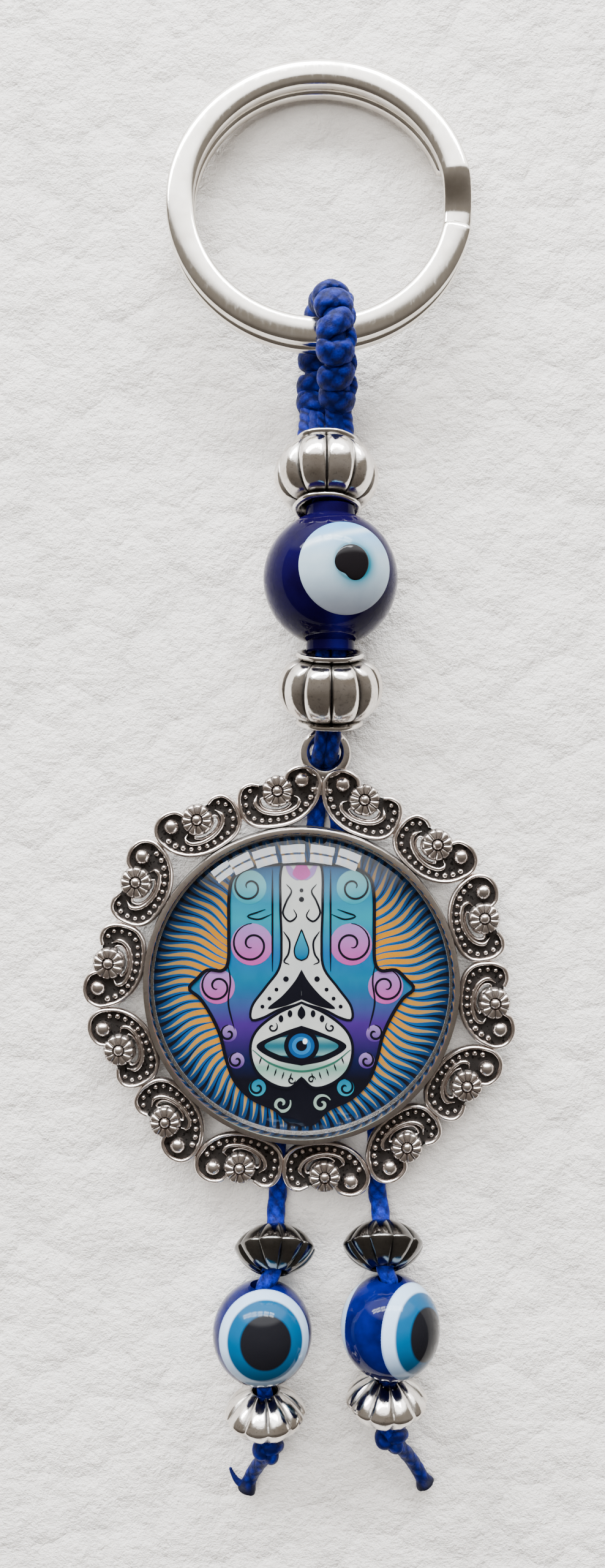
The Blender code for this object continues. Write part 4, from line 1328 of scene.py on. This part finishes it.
def draw_rays(picture):
    """Golden wavy rays over a blue ground, with dark tips between them."""
    rings, around = 14, 180
    share = np.linspace(0.0, 1.0, rings)
    angle = turns_of(around)
    grid = [(DISC_R * s * math.cos(a) * 0.999 + 1e-6, DISC_R * s * math.sin(a) * 0.999)
            for s in share for a in angle]
    ground = [(0.0, (0.01, 0.10, 0.26)), (8.0, (0.004, 0.075, 0.24)), (12.0, (0.003, 0.06, 0.19)),
              (14.8, (0.002, 0.015, 0.05))]
    picture.add(grid, grid_faces(rings, around, False, True, True), 0,
                lambda x, y: lerp_colours(ground, math.hypot(x, y)))
    rays = 84
    gold = [(0.0, (0.52, 0.20, 0.004)), (10.0, (0.44, 0.165, 0.005)), (14.2, (0.20, 0.15, 0.07))]

    def golden(x, y):
        return lerp_colours(gold, math.hypot(x, y))

    rng = random.Random(11)
    for ray in range(rays):
        base = 2 * math.pi * ray / rays
        wave = rng.uniform(-0.3, 0.3)
        for colour, low, high, wide, offset, layer in (
                (golden, 3.0, 14.5, 0.92, 0.0, 1), (INK, 9.2, 14.75, 0.16, 0.5, 2),
                (INK, 12.2, 14.75, 0.36, 0.5, 3)):
            reach = np.linspace(low, high, 26)
            part = (reach - low) / (high - low)
            bend = math.radians(1.5) * np.sin(2 * np.pi * reach / 6.5 + wave)
            middle = base + offset * 2 * math.pi / rays + bend
            if colour is golden:
                half = math.pi / rays * wide * unit(1.25 - part) ** 0.6
                half = half * unit(1.06 - part ** 6)
            else:
                half = math.pi / rays * wide * part * 1.1
            strip = [(r * math.cos(m + h), r * math.sin(m + h))
                     for r, m, spread in zip(reach, middle, half) for h in (-spread, spread)]
            picture.add(strip, grid_faces(len(reach), 2, False, False, True), layer, colour)


HAND = [(0.0, 12.0), (4.5, 11.7), (6.6, 10.8), (7.2, 9.0), (7.25, 5.0), (7.3, 2.3), (7.9, 1.3),
        (9.4, 1.35), (10.4, 0.5), (11.2, -0.5), (10.1, -1.5), (9.0, -3.2), (8.1, -5.2),
        (7.5, -7.6), (6.6, -9.8), (4.9, -11.5), (2.6, -12.6), (1.3, -13.9), (0.0, -14.1)]
PANEL = [(0.0, 12.0), (1.9, 11.8), (2.1, 8.0), (2.0, 4.2), (2.2, 1.6), (3.6, -0.4), (4.9, -2.2),
         (5.0, -3.6), (3.8, -3.4), (2.2, -2.6), (0.0, -2.0)]
EYE_FIELD = [(0.0, -1.9), (2.4, -3.0), (4.4, -4.6), (5.1, -6.4), (4.6, -8.6), (3.0, -10.0),
             (1.2, -10.4), (0.0, -9.4)]
LEAF = [(3.0, 6.9), (4.3, 6.4), (5.4, 6.7), (4.4, 7.1), (3.6, 7.4)]
FOLD = [(7.35, 1.9), (7.1, 0.2), (7.3, -2.0), (6.7, -4.6)]
ARCH = [(0.0, 1.4), (0.7, 0.2), (1.9, -1.2), (3.4, -2.5), (1.8, -2.3), (0.0, -1.6)]
DROP = [(0.0, 5.4), (0.35, 4.5), (0.72, 3.4), (0.55, 2.6), (0.0, 2.3)]
SEED = [(0.0, -2.2), (0.34, -2.7), (0.36, -3.2), (0.0, -3.6)]
UPPER_CURL = [(1.5, 9.9), (1.0, 9.2), (1.5, 8.2), (1.85, 7.0), (1.2, 6.2), (0.5, 6.7), (0.8, 7.4)]
LOWER_CURL = [(1.8, 5.2), (1.2, 4.2), (1.3, 3.0), (1.75, 2.2), (1.2, 1.9)]
PETAL = [(0.0, 12.3), (0.5, 11.8), (0.9, 11.0), (0.5, 10.5), (0.0, 10.3)]
SIDE_PETAL = [(0.3, 10.3), (1.2, 10.8), (1.6, 11.9), (0.9, 11.5)]
UNDER_EYE = [(-4.9, -6.6), (-3.0, -8.0), (0.0, -8.75), (3.0, -8.0), (4.9, -6.6)]
EYE_WHITES = [(0.0, -4.7), (1.9, -5.3), (3.7, -6.2), (2.3, -7.1), (0.0, -7.7)]
EYE_LIDS = [(0.0, -4.2), (2.0, -4.9), (4.5, -6.2), (2.6, -7.6), (0.0, -8.2)]


def symmetric(half, spacing=0.35):
    """Closed smooth outline from its right half, which starts and ends on the middle line."""
    right = smooth_path(half, spacing)
    left = np.array(mirrored(right[::-1]))[1:-1]
    return [tuple(p) for p in np.vstack([right, left])]


def draw_hand(picture):
    """A generic open-hand amulet: bands of colour, curls, a pale panel and an eye."""
    outline = symmetric(HAND)
    bands = [(-14.0, INK), (-9.6, INK), (-7.5, DEEP), (-4.0, VIOLET), (0.5, TEAL),
             (3.0, (0.005, 0.09, 0.24)), (6.5, AQUA), (9.0, (0.006, 0.14, 0.24)),
             (12.0, (0.004, 0.04, 0.13))]
    picture.fill(outline, 5, lambda x, y: lerp_colours(bands, y))
    picture.stroke(outline, 0.34, 20, closed=True)
    for sense in (1, -1):
        for x, y, radius, first, second, turns in (
                (5.2, 9.6, 1.7, AQUA, (0.13, 0.36, 0.38), 1.3),
                (4.95, 3.9, 2.1, PINK, LILAC, 1.5),
                (8.4, -0.3, 1.75, PINK, LILAC, 1.5),
                (7.3, -5.0, 0.85, VIOLET, LILAC, 1.1),
                (6.5, -7.7, 0.80, VIOLET, LILAC, 1.1),
                (4.4, -10.4, 0.85, AQUA, TEAL, 1.1)):
            tone = [(y - radius, first), (y + radius, second)]
            picture.dot(sense * x, y, radius, 7, lambda a, b, t=tone: lerp_colours(t, b))
            curl = spiral(sense * x, y, radius, turns, math.pi / 2, -sense)
            picture.stroke(curl, 0.22, 9)
        picture.stroke([(sense * 2.9, y) for y in np.linspace(11.4, 1.2, 20)], 0.2, 8)
        picture.line(LEAF, sense, 0.16, 9)
        picture.line(FOLD, sense, 0.18, 8, 0.25)
        picture.stroke(spiral(sense * 2.0, -12.0, 0.95, 1.2, 0.4, sense), 0.30, 10,
                       (0.22, 0.30, 0.24))
    picture.fill(symmetric(PANEL), 11, CREAM)
    picture.stroke(symmetric(PANEL), 0.26, 12, closed=True)
    picture.fill(symmetric(ARCH, 0.25), 13, INK)
    field = symmetric(EYE_FIELD)
    field_tone = [(-10.4, CREAM), (-8.4, (0.12, 0.26, 0.19)), (-7.6, CREAM), (-1.9, CREAM)]
    picture.fill(field, 14, lambda x, y: lerp_colours(field_tone, y))
    picture.stroke(field, 0.28, 15, closed=True)
    draw_eye(picture)
    draw_panel_marks(picture)


def draw_eye(picture):
    picture.fill(symmetric(EYE_LIDS, 0.2), 16, INK)
    across = [(0.0, (0.003, 0.01, 0.02)), (1.9, (0.006, 0.03, 0.05)), (2.3, (0.13, 0.26, 0.25)),
              (3.7, (0.01, 0.09, 0.12))]
    picture.fill(symmetric(EYE_WHITES, 0.2), 17, lambda x, y: lerp_colours(across, abs(x)))
    for radius, colour, layer in ((1.75, INK, 18), (1.3, (0.004, 0.05, 0.16), 19),
                                  (0.95, (0.008, 0.12, 0.30), 20), (0.55, INK, 21)):
        picture.dot(0.0, -6.2, radius, layer, colour, 0.95)
    picture.dot(0.35, -5.75, 0.24, 22, (0.75, 0.85, 0.92), 1.2)
    picture.stroke(smooth_path(UNDER_EYE, 0.25), 0.2, 18, (0.02, 0.09, 0.06))
    for sense in (1, -1):
        for k in range(5):
            x = sense * (1.0 + 0.75 * k)
            top = -8.9 + 0.10 * k * k
            lash = [(x, top), (x + sense * 0.10, top - 0.35), (x + sense * 0.22, top - 0.7)]
            picture.stroke(lash, 0.16, 19)
        picture.stroke(spiral(sense * 1.0, -9.6, 0.42, 1.1, 0.0, sense), 0.16, 19)


def draw_panel_marks(picture):
    """Drop, dots, leaves and curls on the pale panel."""
    drop = symmetric(DROP, 0.15)
    wet = [(2.3, (0.0, 0.07, 0.17)), (5.4, (0.015, 0.24, 0.32))]
    picture.fill(drop, 15, lambda x, y: lerp_colours(wet, y))
    picture.stroke(drop, 0.14, 16, closed=True)
    picture.fill(symmetric(SEED, 0.12), 18, INK)
    for y, radius in ((9.3, 0.2), (8.4, 0.26)):
        picture.dot(0.0, y, radius, 15, INK)
    for sense in (1, -1):
        picture.dot(sense * 1.55, 0.45, 0.28, 15, INK)
        for x, y in ((2.5, -0.6), (3.2, -1.5), (3.9, -2.3)):
            picture.dot(sense * x, y, 0.2, 15, INK)
        for x, y in ((1.15, -3.0), (2.05, -3.5)):
            picture.dot(sense * x, y, 0.24, 18, INK, 1.5)
        picture.stroke(spiral(sense * 2.9, -4.35, 0.55, 1.0, 2.2 if sense > 0 else 0.9,
                              sense), 0.18, 18)
        picture.line(UPPER_CURL, sense, 0.2, 15)
        picture.line(LOWER_CURL, sense, 0.2, 15)
    picture.fill(symmetric(PETAL, 0.15), 15, PINK)
    for sense in (1, -1):
        side_petal = [(sense * x, y) for x, y in SIDE_PETAL]
        picture.fill([tuple(p) for p in smooth_path(side_petal, 0.15, True)], 14, LILAC)


def make_picture():
    picture = Picture()
    draw_rays(picture)
    draw_hand(picture)
    shape = picture.shape
    base = [(0.02, CUP_FLOOR + 0.08), (DISC_R, CUP_FLOOR + 0.08), (DISC_R, picture.low - 0.01),
            (0.02, picture.low - 0.01)]
    turned(shape, base[::-1], 120, place((*PENDANT, 0.0)), tint=(0.75, 0.74, 0.70))
    shape.piece("printed_picture", "pendant", "print", print_material(), ("picture_disc",))


# ---------------------------------------------------------------- the ornament

make_camera()
make_light()
make_floor()
CORD = cord_material()
COBALT = cobalt_material()
ENAMEL = enamel_material()
SILVER_POLISHED = cast_silver_material("polished_silver", (0.84, 0.81, 0.77), (0.62, 0.57, 0.52),
                                       (0.02, 0.017, 0.015), 0.11, 0.55, 0.4)
SILVER_CAST = cast_silver_material("antique_silver", (0.86, 0.79, 0.75), (0.70, 0.62, 0.58),
                                   (0.014, 0.012, 0.011), 0.22, 0.30, 0.45)
SILVER_SATIN = cast_silver_material("satin_silver", (0.78, 0.74, 0.71), (0.64, 0.59, 0.56),
                                    (0.03, 0.027, 0.025), 0.13, 0.3, 0.3)
GUNMETAL = cast_silver_material("gunmetal", (0.20, 0.195, 0.185), (0.12, 0.115, 0.11),
                                (0.006, 0.006, 0.006), 0.13, 0.45, 0.35)
for cord_side in ("left", "right"):
    make_side_cords(cord_side)
make_loop()
make_strand_cords()
make_key_ring()
make_lantern("lobed_bead_upper", "upper_lantern_spin", "upper_lantern", 0.314, 2)
make_lantern("lobed_bead_lower", "lower_lantern_spin", "lower_lantern", 0.314, 5)
make_large_eye()
make_border()
make_cup()
make_picture()
make_dome()
for drop_side in ("left", "right"):
    make_small_eye(drop_side)
    make_bicone("upper_bicone_" + drop_side, f"upper_bicone_{drop_side}_spin",
                "upper_bicone_" + drop_side, "gunmetal", GUNMETAL, 0.1)
    make_bicone("lower_bicone_" + drop_side, f"lower_bicone_{drop_side}_spin",
                "lower_bicone_" + drop_side, "silver", SILVER_POLISHED, 0.2)
